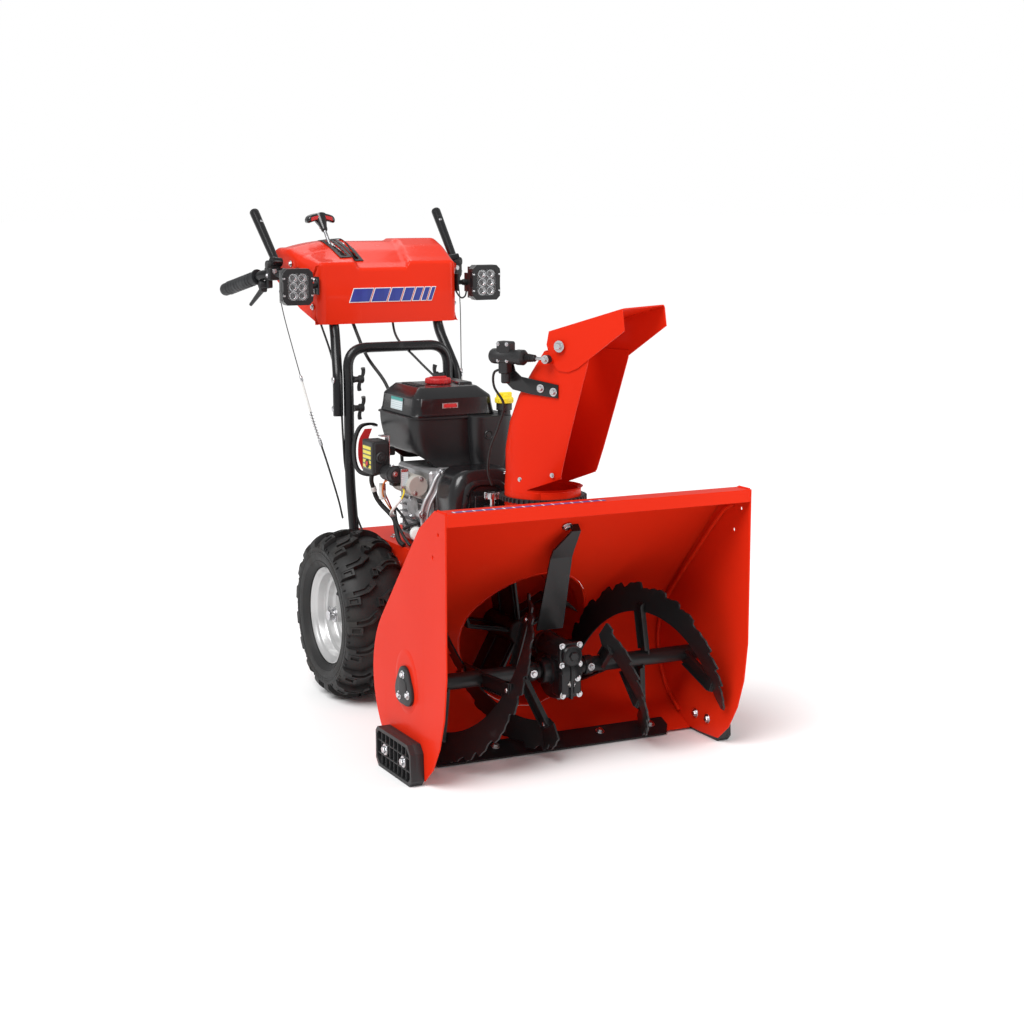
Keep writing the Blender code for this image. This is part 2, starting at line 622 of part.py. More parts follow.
def tractor():
    side = [(FRAME_FRONT, FRAME_LOW), (FRAME_REAR - 0.09, FRAME_LOW), (FRAME_REAR, FRAME_LOW + 0.09),
            (FRAME_REAR, FRAME_TOP), (FRAME_FRONT, FRAME_TOP)]
    frame = flat("tractor_frame", "paint_red", [side], 2 * FRAME_W, (0, 0, 0), "x", solid=True)
    t = FRAME_T
    hollow = [(FRAME_FRONT + t, FRAME_LOW - 0.05), (FRAME_REAR - 0.09 - t, FRAME_LOW - 0.05),
              (FRAME_REAR - 0.09 - t, FRAME_LOW + t), (FRAME_REAR - t, FRAME_LOW + 0.09 + t),
              (FRAME_REAR - t, FRAME_TOP - t), (FRAME_FRONT + t, FRAME_TOP - t)]
    room = flat("frame_room", None, [hollow], 2 * (FRAME_W - t), (0, 0, 0), "x", solid=True)
    axle = rod("axle_bore", None, SHAFT_R + RUN, (-0.2, AXLE_Y, WHEEL_R), (0.2, AXLE_Y, WHEEL_R), 20)
    front = rod("shaft_window", None, 0.030, (0, FRAME_FRONT - 0.02, IMP_Z), (0, FRAME_FRONT + 0.02, IMP_Z), 20)
    slot = box("belt_slot", None, (0.150, 0.040, 0.04), (0, BELT_Y, FRAME_TOP))
    cut(frame, room, axle, front, slot)
    case_top = 0.275
    case = box("gear_case", "cast", (0.150, 0.130, case_top - 0.140), (0, AXLE_Y, (case_top + 0.140) / 2), bevel=0.006)
    cut(case, rod("gear_case_bore", None, SHAFT_R + RUN, (-0.2, AXLE_Y, WHEEL_R), (0.2, AXLE_Y, WHEEL_R), 20))
    for sign, tag in SIDES:
        wheel(sign, tag)


def wheel(sign, tag):
    centre = (sign * WHEEL_X, AXLE_Y, WHEEL_R)
    outer = WHEEL_X + 0.062
    rod("half_axle_" + tag, "steel", SHAFT_R, (sign * 0.004, AXLE_Y, WHEEL_R), (sign * outer, AXLE_Y, WHEEL_R), 20)
    w = TYRE_W / 2
    hub = SHAFT_R + RUN
    # rim: two flanges, drop centre, dished disc and hub tube, listed down the outer side
    rim = [(RIM_R + 0.012, 0.062), (RIM_R + 0.012, 0.058), (RIM_R, 0.050), (RIM_R, -0.050), (RIM_R + 0.012, -0.058),
           (RIM_R + 0.012, -0.062), (RIM_R - 0.004, -0.052), (RIM_R - 0.004, -0.004), (0.020, 0.010),
           (0.020, -0.040), (hub, -0.040), (hub, 0.045), (0.020, 0.045), (0.020, 0.014), (RIM_R - 0.004, 0.0),
           (RIM_R - 0.004, 0.052)]
    made = lathe("rim_" + tag, "rim_silver", rim, centre, "x", WHEEL_STEPS, closed=True)
    tyre_in = RIM_R + GAP
    lug = 0.012
    tread = WHEEL_R - lug
    profile = [(tread, 0.060), (WHEEL_R, 0.048), (WHEEL_R, -0.048), (tread, -0.060), (tread - 0.020, -w),
               (0.150, -w), (RIM_R + 0.0125, -0.064), (RIM_R + 0.0125, -0.0575), (tyre_in, -0.0495),
               (tyre_in, 0.0495), (RIM_R + 0.0125, 0.0575), (RIM_R + 0.0125, 0.064), (0.150, w),
               (tread - 0.020, w)]
    rubber = lathe("tyre_" + tag, "rubber", profile, centre, "x", WHEEL_STEPS, closed=True)
    if sign == RIGHT:
        for piece in (made, rubber):
            piece.rotation_euler = (0, -math.pi / 2, 0)


# ---- engine -------------------------------------------------------------------------------------
def tapered(name, slot, low, high, z_low, z_high, bevel=0.0, segments=2):
    """A block between two rectangles (x0, x1, y0, y1)."""
    bm = bmesh.new()
    corners = []
    for (x0, x1, y0, y1), z in ((low, z_low), (high, z_high)):
        corners.append([bm.verts.new(p) for p in ((x0, y0, z), (x1, y0, z), (x1, y1, z), (x0, y1, z))])
    bm.faces.new(corners[0][::-1])
    bm.faces.new(corners[1])
    for k in range(4):
        n = (k + 1) % 4
        bm.faces.new((corners[0][k], corners[0][n], corners[1][n], corners[1][k]))
    obj = place(mesh_object(name, bm), slot)
    if bevel:
        soften(obj, bevel, segments)
    return obj


def engine():
    rear = ENGINE_Y + ENGINE_L
    left, right = -ENGINE_W, ENGINE_W - 0.012
    block = tapered("engine_block", "cast", (-0.085, 0.095, 0.672, 0.845), (-0.095, 0.095, 0.665, 0.860),
                    FRAME_TOP + GAP, SHROUD_Z - GAP, 0.006, 1)
    front = rod("crank_room", None, SHAFT_R + RUN, (0, 0.60, CRANK_Z), (0, 0.80, CRANK_Z), 20)
    cut(block, front)
    shroud = tapered("tank_shroud", "plastic_black", (left + 0.018, right - 0.008, ENGINE_Y + 0.012, rear - 0.004),
                     (left, right, ENGINE_Y, rear), SHROUD_Z, SHROUD_TOP, 0.012)
    cover = tapered("engine_cover", "plastic_black",
                    (left + 0.006, right - 0.030, ENGINE_Y - 0.003, rear - 0.012),
                    (left + 0.012, right - 0.036, ENGINE_Y + 0.002, rear - 0.020), SHROUD_TOP + GAP, 0.736, 0.004, 1)
    lid = tapered("cover_lid", None, (left + 0.013, right - 0.037, ENGINE_Y + 0.003, rear - 0.021),
                  (left + 0.034, right - 0.058, ENGINE_Y + 0.030, rear - 0.042), 0.730, 0.754)
    neck = rod("cap_seat", None, 0.024, (CAP_X, CAP_Y, 0.742), (CAP_X, CAP_Y, 0.80), 24)
    join(cover, lid)
    cut(cover, neck)
    lathe("fuel_cap", "cap_red", [(0, 0.014), (0.028, 0.014), (0.0315, 0.011), (0.0315, 0.0), (0.021, 0.0),
                                  (0.021, -0.011), (0, -0.011)], (CAP_X, CAP_Y, 0.7545), "z", 24)
    fill = (0.104, 0.700)
    join(block, rod("oil_tube", None, 0.0135, (fill[0] + 0.006, 0.690, 0.470), (fill[0] + 0.006, 0.690, 0.7125), 16),
         rod("oil_boss", None, 0.018, (0.085, 0.690, 0.480), (fill[0] + 0.006, 0.690, 0.480), 14))
    cut(shroud, box("tube_notch", None, (0.040, 0.050, 0.20), (fill[0] + 0.012, 0.690, 0.66)))
    cut(block, rod("oil_bore", None, 0.0085, (fill[0] + 0.006, 0.690, 0.600), (fill[0] + 0.006, 0.690, 0.80), 16))
    lathe("dipstick_cap", "cap_yellow", [(0, 0.026), (0.010, 0.026), (0.0115, 0.015), (0.0225, 0.014), (0.0225, 0.0),
                                         (0.008, 0.0), (0.008, -0.016), (0.002, -0.018), (0.002, -0.100),
                                         (0, -0.100)], (fill[0] + 0.006, 0.690, 0.713), "z", 14)
    cover_low = FRAME_TOP + GAP
    shell = tapered("belt_cover", "plastic_black", (-0.098, 0.098, 0.5455, 0.655), (-0.080, 0.080, 0.5455, 0.655),
                    cover_low, 0.563, 0.020, 3)
    room = tapered("belt_cover_room", None, (-0.085, 0.085, 0.5500, 0.70), (-0.068, 0.068, 0.5500, 0.70),
                   cover_low - 0.01, 0.551)
    cut(shell, room)
    crank = pulley("crank_pulley", (0, BELT_Y, CRANK_Z), CRANK_PULLEY_R, 0.008)
    join(crank, rod("crankshaft", None, SHAFT_R, (0, BELT_Y - 0.014, CRANK_Z), (0, 0.790, CRANK_Z), 20))
    lathe("starter_motor", "steel", [(0, 0.055), (0.022, 0.055), (0.025, 0.050), (0.025, -0.050), (0.020, -0.055),
                                     (0, -0.055)], (-0.123, 0.724, 0.532), "y", 20)
    box("switch_box", "plastic_black", (0.044, 0.070, 0.080), (-0.178, 0.790, 0.590), bevel=0.004)
    socket = box("button_pocket", None, (0.0135, 0.0126, 0.0126), (-0.19875, 0.790, 0.575))
    boxed = bpy.data.objects["switch_box"]
    cut(boxed, socket)
    arm_piece = box("switch_box_arm", None, (0.040, 0.020, 0.020), (-0.148, 0.800, 0.600))
    join(boxed, arm_piece)
    rod("starter_button", "cap_red", 0.006, (-0.1965, 0.790, 0.575), (-0.2040, 0.790, 0.575), 14)
    muffler_at = (0.130, 0.800, 0.490)
    box("muffler", "steel", (0.066, 0.130, 0.110), muffler_at, bevel=0.012)
    recoil = lathe("recoil_housing", "plastic_black", [(0, 0.050), (0.054, 0.050), (0.067, 0.040), (0.0715, 0.0),
                                                       (0, 0.0)], (0, 0.8605, CRANK_Z), "y", 28)
    cut(recoil, box("rope_port", None, (0.030, 0.030, 0.016), (0, 0.912, CRANK_Z)))
    grip = tapered("recoil_handle", "plastic_black", (-0.050, 0.050, 0.9135, 0.9315), (-0.050, 0.050, 0.9135, 0.9315),
                   CRANK_Z - 0.009, CRANK_Z + 0.009, 0.006)
    join(grip, box("handle_foot", None, (0.016, 0.018, 0.012), (0, 0.9085, CRANK_Z)))


CAP_X, CAP_Y = -0.010, 0.805

# ---- handles and controls -----------------------------------------------------------------------
GRIP_A = Vector((0.268, 1.300, 0.999))
GRIP_B = Vector((0.316, 1.490, 0.951))
LEVER_A = Vector((0.2475, 1.274, 1.031))
LEVER_B = Vector((0.257, 1.410, 1.156))


def sided(points, sign):
    return [(sign * x, y, z) for x, y, z in points]


def bend(corner, before, after, radius, count=4):
    """Points that round a corner of a tube's path."""
    corner, before, after = Vector(corner), Vector(before), Vector(after)
    start = corner + (before - corner).normalized() * radius
    end = corner + (after - corner).normalized() * radius
    out = []
    for k in range(count + 1):
        t = k / count
        out.append((1 - t) ** 2 * start + 2 * t * (1 - t) * corner + t ** 2 * end)
    return out


def handles():
    leg_x = FRAME_W + HANDLE_R + GAP
    foot, knee = (leg_x, 1.022, 0.345), (leg_x + 0.002, 1.046, 0.500)
    shoulder, top = (HOOP_X, 1.068, 0.720), (HOOP_X, 1.073, HOOP_TOP)
    half = [foot, knee, shoulder]
    corner = bend(top, shoulder, (0, 1.073, HOOP_TOP), 0.055, 6)
    right = [Vector(p) for p in half] + corner
    left = [Vector((-p.x, p.y, p.z)) for p in right]
    tube("handle_hoop", "paint_black", left + right[::-1], HANDLE_R)
    beside = HOOP_X + 2 * HANDLE_R + 0.0006
    start = Vector((beside + 0.0035, 1.066, 0.655))
    low = Vector((beside, 1.075, 0.755))
    neck = Vector((0.142, DASH_FRONT + DASH_T + HANDLE_R + 0.002, 0.862))
    turn_in = Vector((0.146, 1.172, 0.985))
    out_at = Vector((0.228, 1.255, 1.004))
    for sign, tag in SIDES:
        way = [start, *bend(low, start, neck, 0.02, 2), *bend(neck, low, turn_in, 0.015, 2),
               *bend(turn_in, neck, out_at, 0.035, 4),
               *bend(out_at, turn_in, GRIP_A, 0.02, 3), GRIP_A, GRIP_B - (GRIP_B - GRIP_A).normalized() * 0.004]
        tube("upper_handle_" + tag, "paint_black", sided(way, sign), HANDLE_R)
        grip(sign, tag)
        clutch(sign, tag)
        lamp(sign, tag)


def grip(sign, tag):
    start, end = (Vector((sign * p.x, p.y, p.z)) for p in (GRIP_A + (GRIP_B - GRIP_A) * 0.16, GRIP_B))
    made = rod("grip_" + tag, "rubber", GRIP_R, start, end, 18)
    soften(made, 0.004, 1)
    along = (end - start).normalized()
    cut(made, rod("grip_bore_" + tag, None, HANDLE_R + GAP, start - along * 0.01, end - along * 0.0035, 18))


def clutch(sign, tag):
    """Paddle lever with its pivot boss, and the steering trigger under the grip."""
    a, b = (Vector((sign * p.x, p.y, p.z)) for p in (LEVER_A, LEVER_B))
    lever = rod("clutch_lever_" + tag, "paint_black", 0.0105, a, b, 14, 0.0125)
    axle = (b - a).cross(Vector((sign * (GRIP_B.x - GRIP_A.x), GRIP_B.y - GRIP_A.y, GRIP_B.z - GRIP_A.z))).normalized()
    join(lever, rod("lever_boss_" + tag, None, 0.012, a - axle * 0.014, a + axle * 0.014, 14))
    p, q = Vector((sign * 0.268, 1.318, 0.962)), Vector((sign * 0.283, 1.375, 0.918))
    trigger = rod("steering_trigger_" + tag, "plastic_black", 0.0075, p, q, 10, 0.0045)
    across = Vector((1, 0, 0))
    join(trigger, rod("trigger_boss_" + tag, None, 0.0095, p - across * 0.008, p + across * 0.008, 12))


LAMP_X, LAMP_Y, LAMP_Z = 0.256, 1.112, 0.976


def lamp(sign, tag):
    body = box("lamp_" + tag, "plastic_black", (0.078, 0.046, 0.090), (sign * LAMP_X, LAMP_Y, LAMP_Z), bevel=0.006)
    pivot_y = LAMP_Y + 0.022
    stub = rod("lamp_stub_" + tag, None, 0.007, (sign * (LAMP_X - 0.036), pivot_y, LAMP_Z),
               (sign * (dash_half(pivot_y + 0.007) + GAP), pivot_y, LAMP_Z), 12)
    join(body, stub)


SHIFT_X, SHIFT_Y, SHIFT_Z = -0.100, 1.205, 1.000


def dash_half(y):
    return DASH_W + (y - DASH_FRONT) * 0.13


def dash():
    """Cowl: an arch from side to side, swept back from a closed front face."""
    stations = ((DASH_FRONT, 0.879, 1.004, 1.023), (1.160, 0.900, 1.018, 1.040), (1.235, 0.943, 1.038, 1.066),
                (1.300, 0.980, 1.050, 1.082), (DASH_REAR, 1.003, 1.052, 1.082))
    bm = bmesh.new()
    rows = []
    for y, low, shoulder, top in stations:
        w = dash_half(y)
        arch = [(-w, low), (-w, shoulder), (-w + 0.006, (shoulder + top) / 2 + 0.003), (-w + 0.024, top),
                (w - 0.024, top), (w - 0.006, (shoulder + top) / 2 + 0.003), (w, shoulder), (w, low)]
        rows.append([bm.verts.new((x, y, z)) for x, z in arch])
    for one, two in zip(rows, rows[1:]):
        for k in range(len(one) - 1):
            bm.faces.new((one[k], one[k + 1], two[k + 1], two[k]))
    bm.faces.new(rows[0])
    bmesh.ops.recalc_face_normals(bm, faces=bm.faces)
    cowl = place(mesh_object("dash_panel", bm), "plastic_red")
    wall = cowl.modifiers.new("wall", "SOLIDIFY")
    wall.thickness = DASH_T
    wall.offset = -1
    wall.use_even_offset = True
    slot = box("shift_slot", None, (0.014, 0.135, 0.10), (SHIFT_X, 1.243, 1.075))
    drive_slot = box("drive_slot", None, (0.014, 0.120, 0.10), (SHIFT_X + 0.034, 1.243, 1.075))
    window = box("handle_window", None, (0.5, 0.22, 0.048), (0, DASH_REAR - 0.075, 1.004))
    cut(cowl, slot, drive_slot, window)

    foot = Vector((SHIFT_X, SHIFT_Y, SHIFT_Z))
    lean = Vector((0, 0.7071, 0.7071))
    lever = rod("shift_lever", "steel", 0.0045, foot, foot + lean * 0.185, 12)
    knob = rod("shift_knob", None, 0.010, foot + lean * 0.165, foot + lean * 0.196, 12, 0.015)
    bar = rod("shift_bar", None, 0.012, foot + lean * 0.200 - Vector((0.030, 0, 0)),
              foot + lean * 0.200 + Vector((0.030, 0, 0)), 14)
    boss = rod("shift_boss", None, 0.010, foot - Vector((0.009, 0, 0)), foot + Vector((0.009, 0, 0)), 14)
    join(lever, knob, bar, boss)


CABLE_R = 0.0025


def cables():
    """Clutch cables, held at the levers and at the tractor frame."""
    run_r = [(-0.2495, 1.246, 0.960), (-0.2485, 1.238, 0.930), (-0.243, 1.222, 0.880), (-0.228, 1.187, 0.780),
             (-0.208, 1.140, 0.650), (-0.188, 1.093, 0.540), (-0.172, 1.060, 0.450), (-0.165, 1.047, 0.400)]
    run_l = [(-x, y, z) for x, y, z in run_r]
    for tag, run in (("r", run_r), ("l", run_l)):
        tube("clutch_cable_" + tag, "rubber", smooth_path(run, 3), CABLE_R, sides=1)


head()
augers()
impeller()
belt()
chute()
chute_drive()
tractor()
engine()
handles()
dash()
cables()


def on_joint(name, point, parent=None):
    """Moves an object's origin to its joint without moving its shape."""
    obj = bpy.data.objects[name]
    bpy.context.view_layer.update()
    local = obj.matrix_local.inverted() @ Vector(point)
    if obj.type == "CURVE":
        for line in obj.data.splines:
            for p in line.points:
                p.co = (*(p.co.xyz - local), 1)
    else:
        obj.data.transform(Matrix.Translation(-local))
    obj.location = Vector(point)


for _, side_tag in SIDES:
    on_joint("auger_" + side_tag, (0, AUGER_Y, AUGER_Z))
    hand = RIGHT if side_tag == "r" else LEFT
    on_joint("clutch_lever_" + side_tag, (hand * LEVER_A.x, LEVER_A.y, LEVER_A.z))
    on_joint("steering_trigger_" + side_tag, (hand * 0.268, 1.318, 0.962))
    on_joint("lamp_" + side_tag, (hand * LAMP_X, LAMP_Y + 0.022, LAMP_Z))
on_joint("shift_lever", (SHIFT_X, SHIFT_Y, SHIFT_Z))
on_joint("deflector", (0, -PIVOT_F, PIVOT_Z))

# Centre the machine on the origin, along the ground.
bpy.context.view_layer.update()
graph = bpy.context.evaluated_depsgraph_get()
reach_y = []
for piece in parts.objects:
    if piece.type != "EMPTY":
        shape = piece.evaluated_get(graph).to_mesh()
        reach_y += [(piece.matrix_world @ point.co).y for point in shape.vertices]
base.location.y = -(min(reach_y) + max(reach_y)) / 2
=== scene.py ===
import json
import math

import bmesh
import bpy
import numpy as np
from mathutils import Matrix, Vector


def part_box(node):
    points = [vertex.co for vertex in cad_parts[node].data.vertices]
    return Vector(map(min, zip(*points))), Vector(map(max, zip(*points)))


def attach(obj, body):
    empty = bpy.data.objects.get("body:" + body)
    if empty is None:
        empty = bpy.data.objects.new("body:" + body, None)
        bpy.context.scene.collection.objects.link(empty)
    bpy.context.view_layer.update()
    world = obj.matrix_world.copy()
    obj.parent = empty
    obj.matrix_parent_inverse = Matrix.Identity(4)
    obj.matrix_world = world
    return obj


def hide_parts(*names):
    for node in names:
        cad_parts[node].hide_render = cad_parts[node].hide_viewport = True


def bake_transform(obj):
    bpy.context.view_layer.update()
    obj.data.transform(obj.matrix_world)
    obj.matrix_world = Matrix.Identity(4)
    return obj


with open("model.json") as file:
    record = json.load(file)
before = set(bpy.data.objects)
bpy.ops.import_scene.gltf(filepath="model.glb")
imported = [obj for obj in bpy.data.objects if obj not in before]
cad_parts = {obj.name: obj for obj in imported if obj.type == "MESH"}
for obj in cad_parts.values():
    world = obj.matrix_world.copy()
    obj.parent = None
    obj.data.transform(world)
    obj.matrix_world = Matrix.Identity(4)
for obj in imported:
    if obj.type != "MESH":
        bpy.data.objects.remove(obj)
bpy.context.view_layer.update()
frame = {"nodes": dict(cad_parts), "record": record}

record = frame["record"]
bodyOf = {node: body for body, nodes in record["behaviour"]["bodies"].items() for node in nodes}
slotOf = {row["node"]: row["material_slot"] for row in record["subparts"]}

# Lengths along Y are counted from the front edge of the housing, as in the design.
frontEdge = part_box("side_plate_r")[0][1]
sides = ((-1, "r"), (1, "l"))


# shader maths: a wrapped socket takes part in Python expressions
class Wire:
    def __init__(self, paint, socket):
        self.paint = paint
        self.socket = socket

    def maths(self, operation, a, b=0.0, clamp=False):
        return self.paint.node("ShaderNodeMath", {"operation": operation, "use_clamp": clamp}, {0: a, 1: b})

    def __add__(self, other):
        return self.maths("ADD", self, other)

    def __radd__(self, other):
        return self.maths("ADD", other, self)

    def __sub__(self, other):
        return self.maths("SUBTRACT", self, other)

    def __rsub__(self, other):
        return self.maths("SUBTRACT", other, self)

    def __mul__(self, other):
        return self.maths("MULTIPLY", self, other)

    def __rmul__(self, other):
        return self.maths("MULTIPLY", other, self)

    def __truediv__(self, other):
        return self.maths("DIVIDE", self, other)

    def __pow__(self, other):
        return self.maths("POWER", self, other)


class Paint:
    # one material: constants go on the shader's own sockets, node() adds everything else
    def __init__(self, name, **constants):
        self.material = bpy.data.materials.new(name)
        self.material.use_nodes = True
        self.tree = self.material.node_tree
        self.shader = next(n for n in self.tree.nodes if n.type == "BSDF_PRINCIPLED")
        for socket, value in constants.items():
            self.shader.inputs[socket.replace("_", " ")].default_value = value
        self.place = self.node("ShaderNodeTexCoord", output="Object")

    def node(self, kind, settings=None, inputs=None, output=0):
        made = self.tree.nodes.new(kind)
        settings = dict(settings or {})
        stops = settings.pop("stops", ())
        for key, value in settings.items():
            setattr(made, key, value)
        if stops:
            ramp = made.color_ramp
            while len(ramp.elements) < len(stops):
                ramp.elements.new(0.5)
            for element, (position, colour) in zip(ramp.elements, stops):
                element.position = position
                element.color = (*colour, 1)
        for key, value in (inputs or {}).items():
            self.feed(made.inputs[key], value)
        return Wire(self, made.outputs[output])

    def feed(self, socket, value):
        if isinstance(value, Wire):
            self.tree.links.new(value.socket, socket)
        elif isinstance(value, tuple) and len(value) == 3 and socket.type == "RGBA":
            socket.default_value = (*value, 1)
        else:
            socket.default_value = value

    def noise(self, scale, detail=3.0, stretch=None, distortion=0.0):
        place = self.place
        if stretch:
            place = self.node("ShaderNodeMapping", {}, {"Vector": place, "Scale": stretch})
        return self.node("ShaderNodeTexNoise", {},
            {"Vector": place, "Scale": scale, "Detail": detail, "Distortion": distortion})

    def cells(self, scale, feature="F1", output="Distance"):
        return self.node("ShaderNodeTexVoronoi", {"feature": feature},
            {"Vector": self.place, "Scale": scale}, output)

    def between(self, value, low, high):
        # 0 below low, 1 above high, smooth in between
        return self.node("ShaderNodeMapRange", {"interpolation_type": "SMOOTHSTEP"},
            {"Value": value, "From Min": low, "From Max": high})

    def mix(self, factor, one, two):
        made = self.tree.nodes.new("ShaderNodeMix")
        made.data_type = "RGBA"
        self.feed(made.inputs[0], factor)
        self.feed(made.inputs[6], one)
        self.feed(made.inputs[7], two)
        return Wire(self, made.outputs[2])

    def axis(self, letter):
        return self.node("ShaderNodeSeparateXYZ", {}, {"Vector": self.place}, letter.upper())

    def bump(self, *layers):
        # (height, strength, distance) layers, one over another
        normal = None
        for height, strength, distance in layers:
            inputs = {"Height": height, "Strength": strength, "Distance": distance}
            if normal:
                inputs["Normal"] = normal
            normal = self.node("ShaderNodeBump", {}, inputs)
        self.feed(self.shader.inputs["Normal"], normal)

    def done(self, colour=None, roughness=None, **more):
        if colour is not None:
            self.feed(self.shader.inputs["Base Color"], colour)
        if roughness is not None:
            self.feed(self.shader.inputs["Roughness"], roughness)
        for socket, value in more.items():
            self.feed(self.shader.inputs[socket.replace("_", " ")], value)
        return self.material


# finishes
redSheet = {"colour": (0.72, 0.026, 0.007), "deep": (0.63, 0.02, 0.005), "dust": (0.83, 0.12, 0.06)}


def paintedRed(name, look, roughness, coat, peel):
    # sprayed enamel: slow colour drift, orange peel, faint rubbed streaks and a little dust
    paint = Paint(name, Coat_Weight=coat, Coat_Roughness=0.08, IOR=1.5, Specular_IOR_Level=0.045)
    drift = paint.between(paint.noise(2.6, 4.0), 0.3, 0.75)
    rubbed = paint.between(paint.noise(34.0, 6.0, (1.0, 1.0, 0.12)), 0.6, 0.78)
    specks = paint.between(paint.noise(620.0, 2.0), 0.74, 0.8)
    colour = paint.mix(drift * 0.45, look["colour"], look["deep"])
    colour = paint.mix(rubbed * 0.05 + specks * 0.1, colour, look["dust"])
    paint.bump((paint.noise(peel, 2.0), 0.055, 0.0006), (paint.noise(9.0, 2.0), 0.04, 0.006))
    return paint.done(colour, roughness + rubbed * 0.12 + drift * 0.06)


def powderBlack(name, colour=(0.0085, 0.0085, 0.0095), roughness=0.3, grain=520.0, strength=0.16):
    # powder coat: fine pebbles, greyer where it is scuffed
    paint = Paint(name, Specular_IOR_Level=0.28, IOR=1.5, Coat_Weight=0.25, Coat_Roughness=0.2)
    scuff = paint.between(paint.noise(26.0, 7.0, distortion=0.6), 0.62, 0.74)
    cloud = paint.noise(5.0, 3.0)
    colour = paint.mix(scuff * 0.35 + cloud * 0.1, colour, (0.045, 0.045, 0.047))
    paint.bump((paint.noise(grain, 3.0), strength, 0.0005))
    return paint.done(colour, roughness + scuff * 0.22 + cloud * 0.1)


def moulded(name, colour, roughness, grain=900.0, strength=0.2, tint=None, coat=0.0):
    # moulded plastic: spark-eroded grain, soft flow marks, handling shine
    paint = Paint(name, IOR=1.46, Coat_Weight=coat, Coat_Roughness=0.12)
    flow = paint.noise(6.0, 4.0, (1.0, 0.5, 2.0), 0.8)
    worn = paint.between(paint.noise(14.0, 5.0), 0.55, 0.75)
    lighter = tint or tuple(min(1.0, c * 1.5 + 0.006) for c in colour)
    colour = paint.mix(flow * 0.3 + worn * 0.15, colour, lighter)
    pits = paint.cells(grain)
    paint.bump((pits, strength, 0.0004), (paint.noise(grain * 0.4, 2.0), strength * 0.5, 0.0005))
    return paint.done(colour, roughness - worn * 0.1 + flow * 0.08)


def tyreRubber(name):
    # tread compound: matt, dusty in patches, with fine mould lines
    paint = Paint(name, IOR=1.45)
    dust = paint.between(paint.noise(18.0, 6.0, distortion=0.4), 0.48, 0.72)
    fine = paint.noise(240.0, 5.0)
    colour = paint.mix(dust * 0.55, (0.0085, 0.0085, 0.009), (0.04, 0.036, 0.032))
    colour = paint.mix(fine * 0.12, colour, (0.06, 0.056, 0.05))
    paint.bump((fine, 0.3, 0.001), (paint.noise(46.0, 4.0), 0.25, 0.0016))
    return paint.done(colour, 0.56 + dust * 0.26)


def gripRubber(name):
    # soft grip sleeve: fine cross grain, polished where the hand rubs
    paint = Paint(name, IOR=1.47)
    rubbed = paint.between(paint.noise(20.0, 4.0), 0.45, 0.7)
    colour = paint.mix(rubbed * 0.4, (0.014, 0.015, 0.017), (0.034, 0.036, 0.04))
    paint.bump((paint.cells(700.0), 0.28, 0.0005), (paint.noise(120.0, 3.0), 0.15, 0.0008))
    return paint.done(colour, 0.55 - rubbed * 0.16)


def silverPaint(name):
    # aluminium-flake wheel paint with painted glints on the flakes, dust low down
    paint = Paint(name, Metallic=0.55, Coat_Weight=0.3, Coat_Roughness=0.18)
    flake = paint.cells(1600.0, output="Color")
    painted_glint = paint.node("ShaderNodeSeparateColor", {}, {0: flake}, 0)
    soil = paint.between(paint.noise(24.0, 6.0), 0.54, 0.78)
    # the lighter flake cells are painted glints in the colour, not real light
    colour = paint.mix(painted_glint * 0.22, (0.52, 0.52, 0.52), (0.72, 0.72, 0.71))
    colour = paint.mix(soil * 0.22, colour, (0.33, 0.31, 0.28))
    paint.bump((paint.noise(420.0, 2.0), 0.05, 0.0005))
    return paint.done(colour, 0.3 + soil * 0.25 + painted_glint * 0.06)


def plated(name, colour=(0.62, 0.62, 0.64), warm=(0.6, 0.55, 0.42), roughness=0.24, grain=240.0):
    # zinc plate: spangle, slight yellow bloom, handling marks
    paint = Paint(name, Metallic=1.0)
    spangle = paint.cells(grain * 2.0, output="Color")
    shade = paint.node("ShaderNodeSeparateColor", {}, {0: spangle}, 1)
    bloom = paint.between(paint.noise(70.0, 4.0), 0.5, 0.75)
    colour = paint.mix(bloom * 0.35, colour, warm)
    colour = paint.mix(shade * 0.18, colour, (0.4, 0.4, 0.42))
    paint.bump((paint.noise(grain, 4.0, (1.0, 1.0, 0.3)), 0.1, 0.0004))
    return paint.done(colour, roughness + bloom * 0.2 + shade * 0.06)


def sandCast(name, colour=(0.5, 0.5, 0.51), stain=(0.13, 0.125, 0.12)):
    # sand-cast aluminium: pebbled skin, oily stains in the hollows
    paint = Paint(name, Metallic=0.85)
    grit = paint.noise(520.0, 5.0)
    oily = paint.between(paint.noise(22.0, 6.0, distortion=0.7), 0.5, 0.74)
    colour = paint.mix(oily * 0.65, colour, stain)
    paint.bump((grit, 0.35, 0.0008), (paint.noise(90.0, 3.0), 0.18, 0.0012))
    return paint.done(colour, 0.42 + grit * 0.18 - oily * 0.08)


def heatedSteel(name):
    # aluminised sheet that has been hot: straw and blue bands, soot freckles
    paint = Paint(name, Metallic=0.9)
    heat = paint.node("ShaderNodeValToRGB", {"stops": ((0.3, (0.46, 0.45, 0.43)),
        (0.55, (0.42, 0.32, 0.2)), (0.72, (0.24, 0.22, 0.28)))}, {"Fac": paint.noise(11.0, 4.0)})
    soot = paint.between(paint.noise(160.0, 5.0), 0.6, 0.72)
    paint.bump((paint.noise(300.0, 4.0), 0.2, 0.0006))
    return paint.done(paint.mix(soot * 0.5, heat, (0.06, 0.055, 0.05)), 0.42 + soot * 0.25)


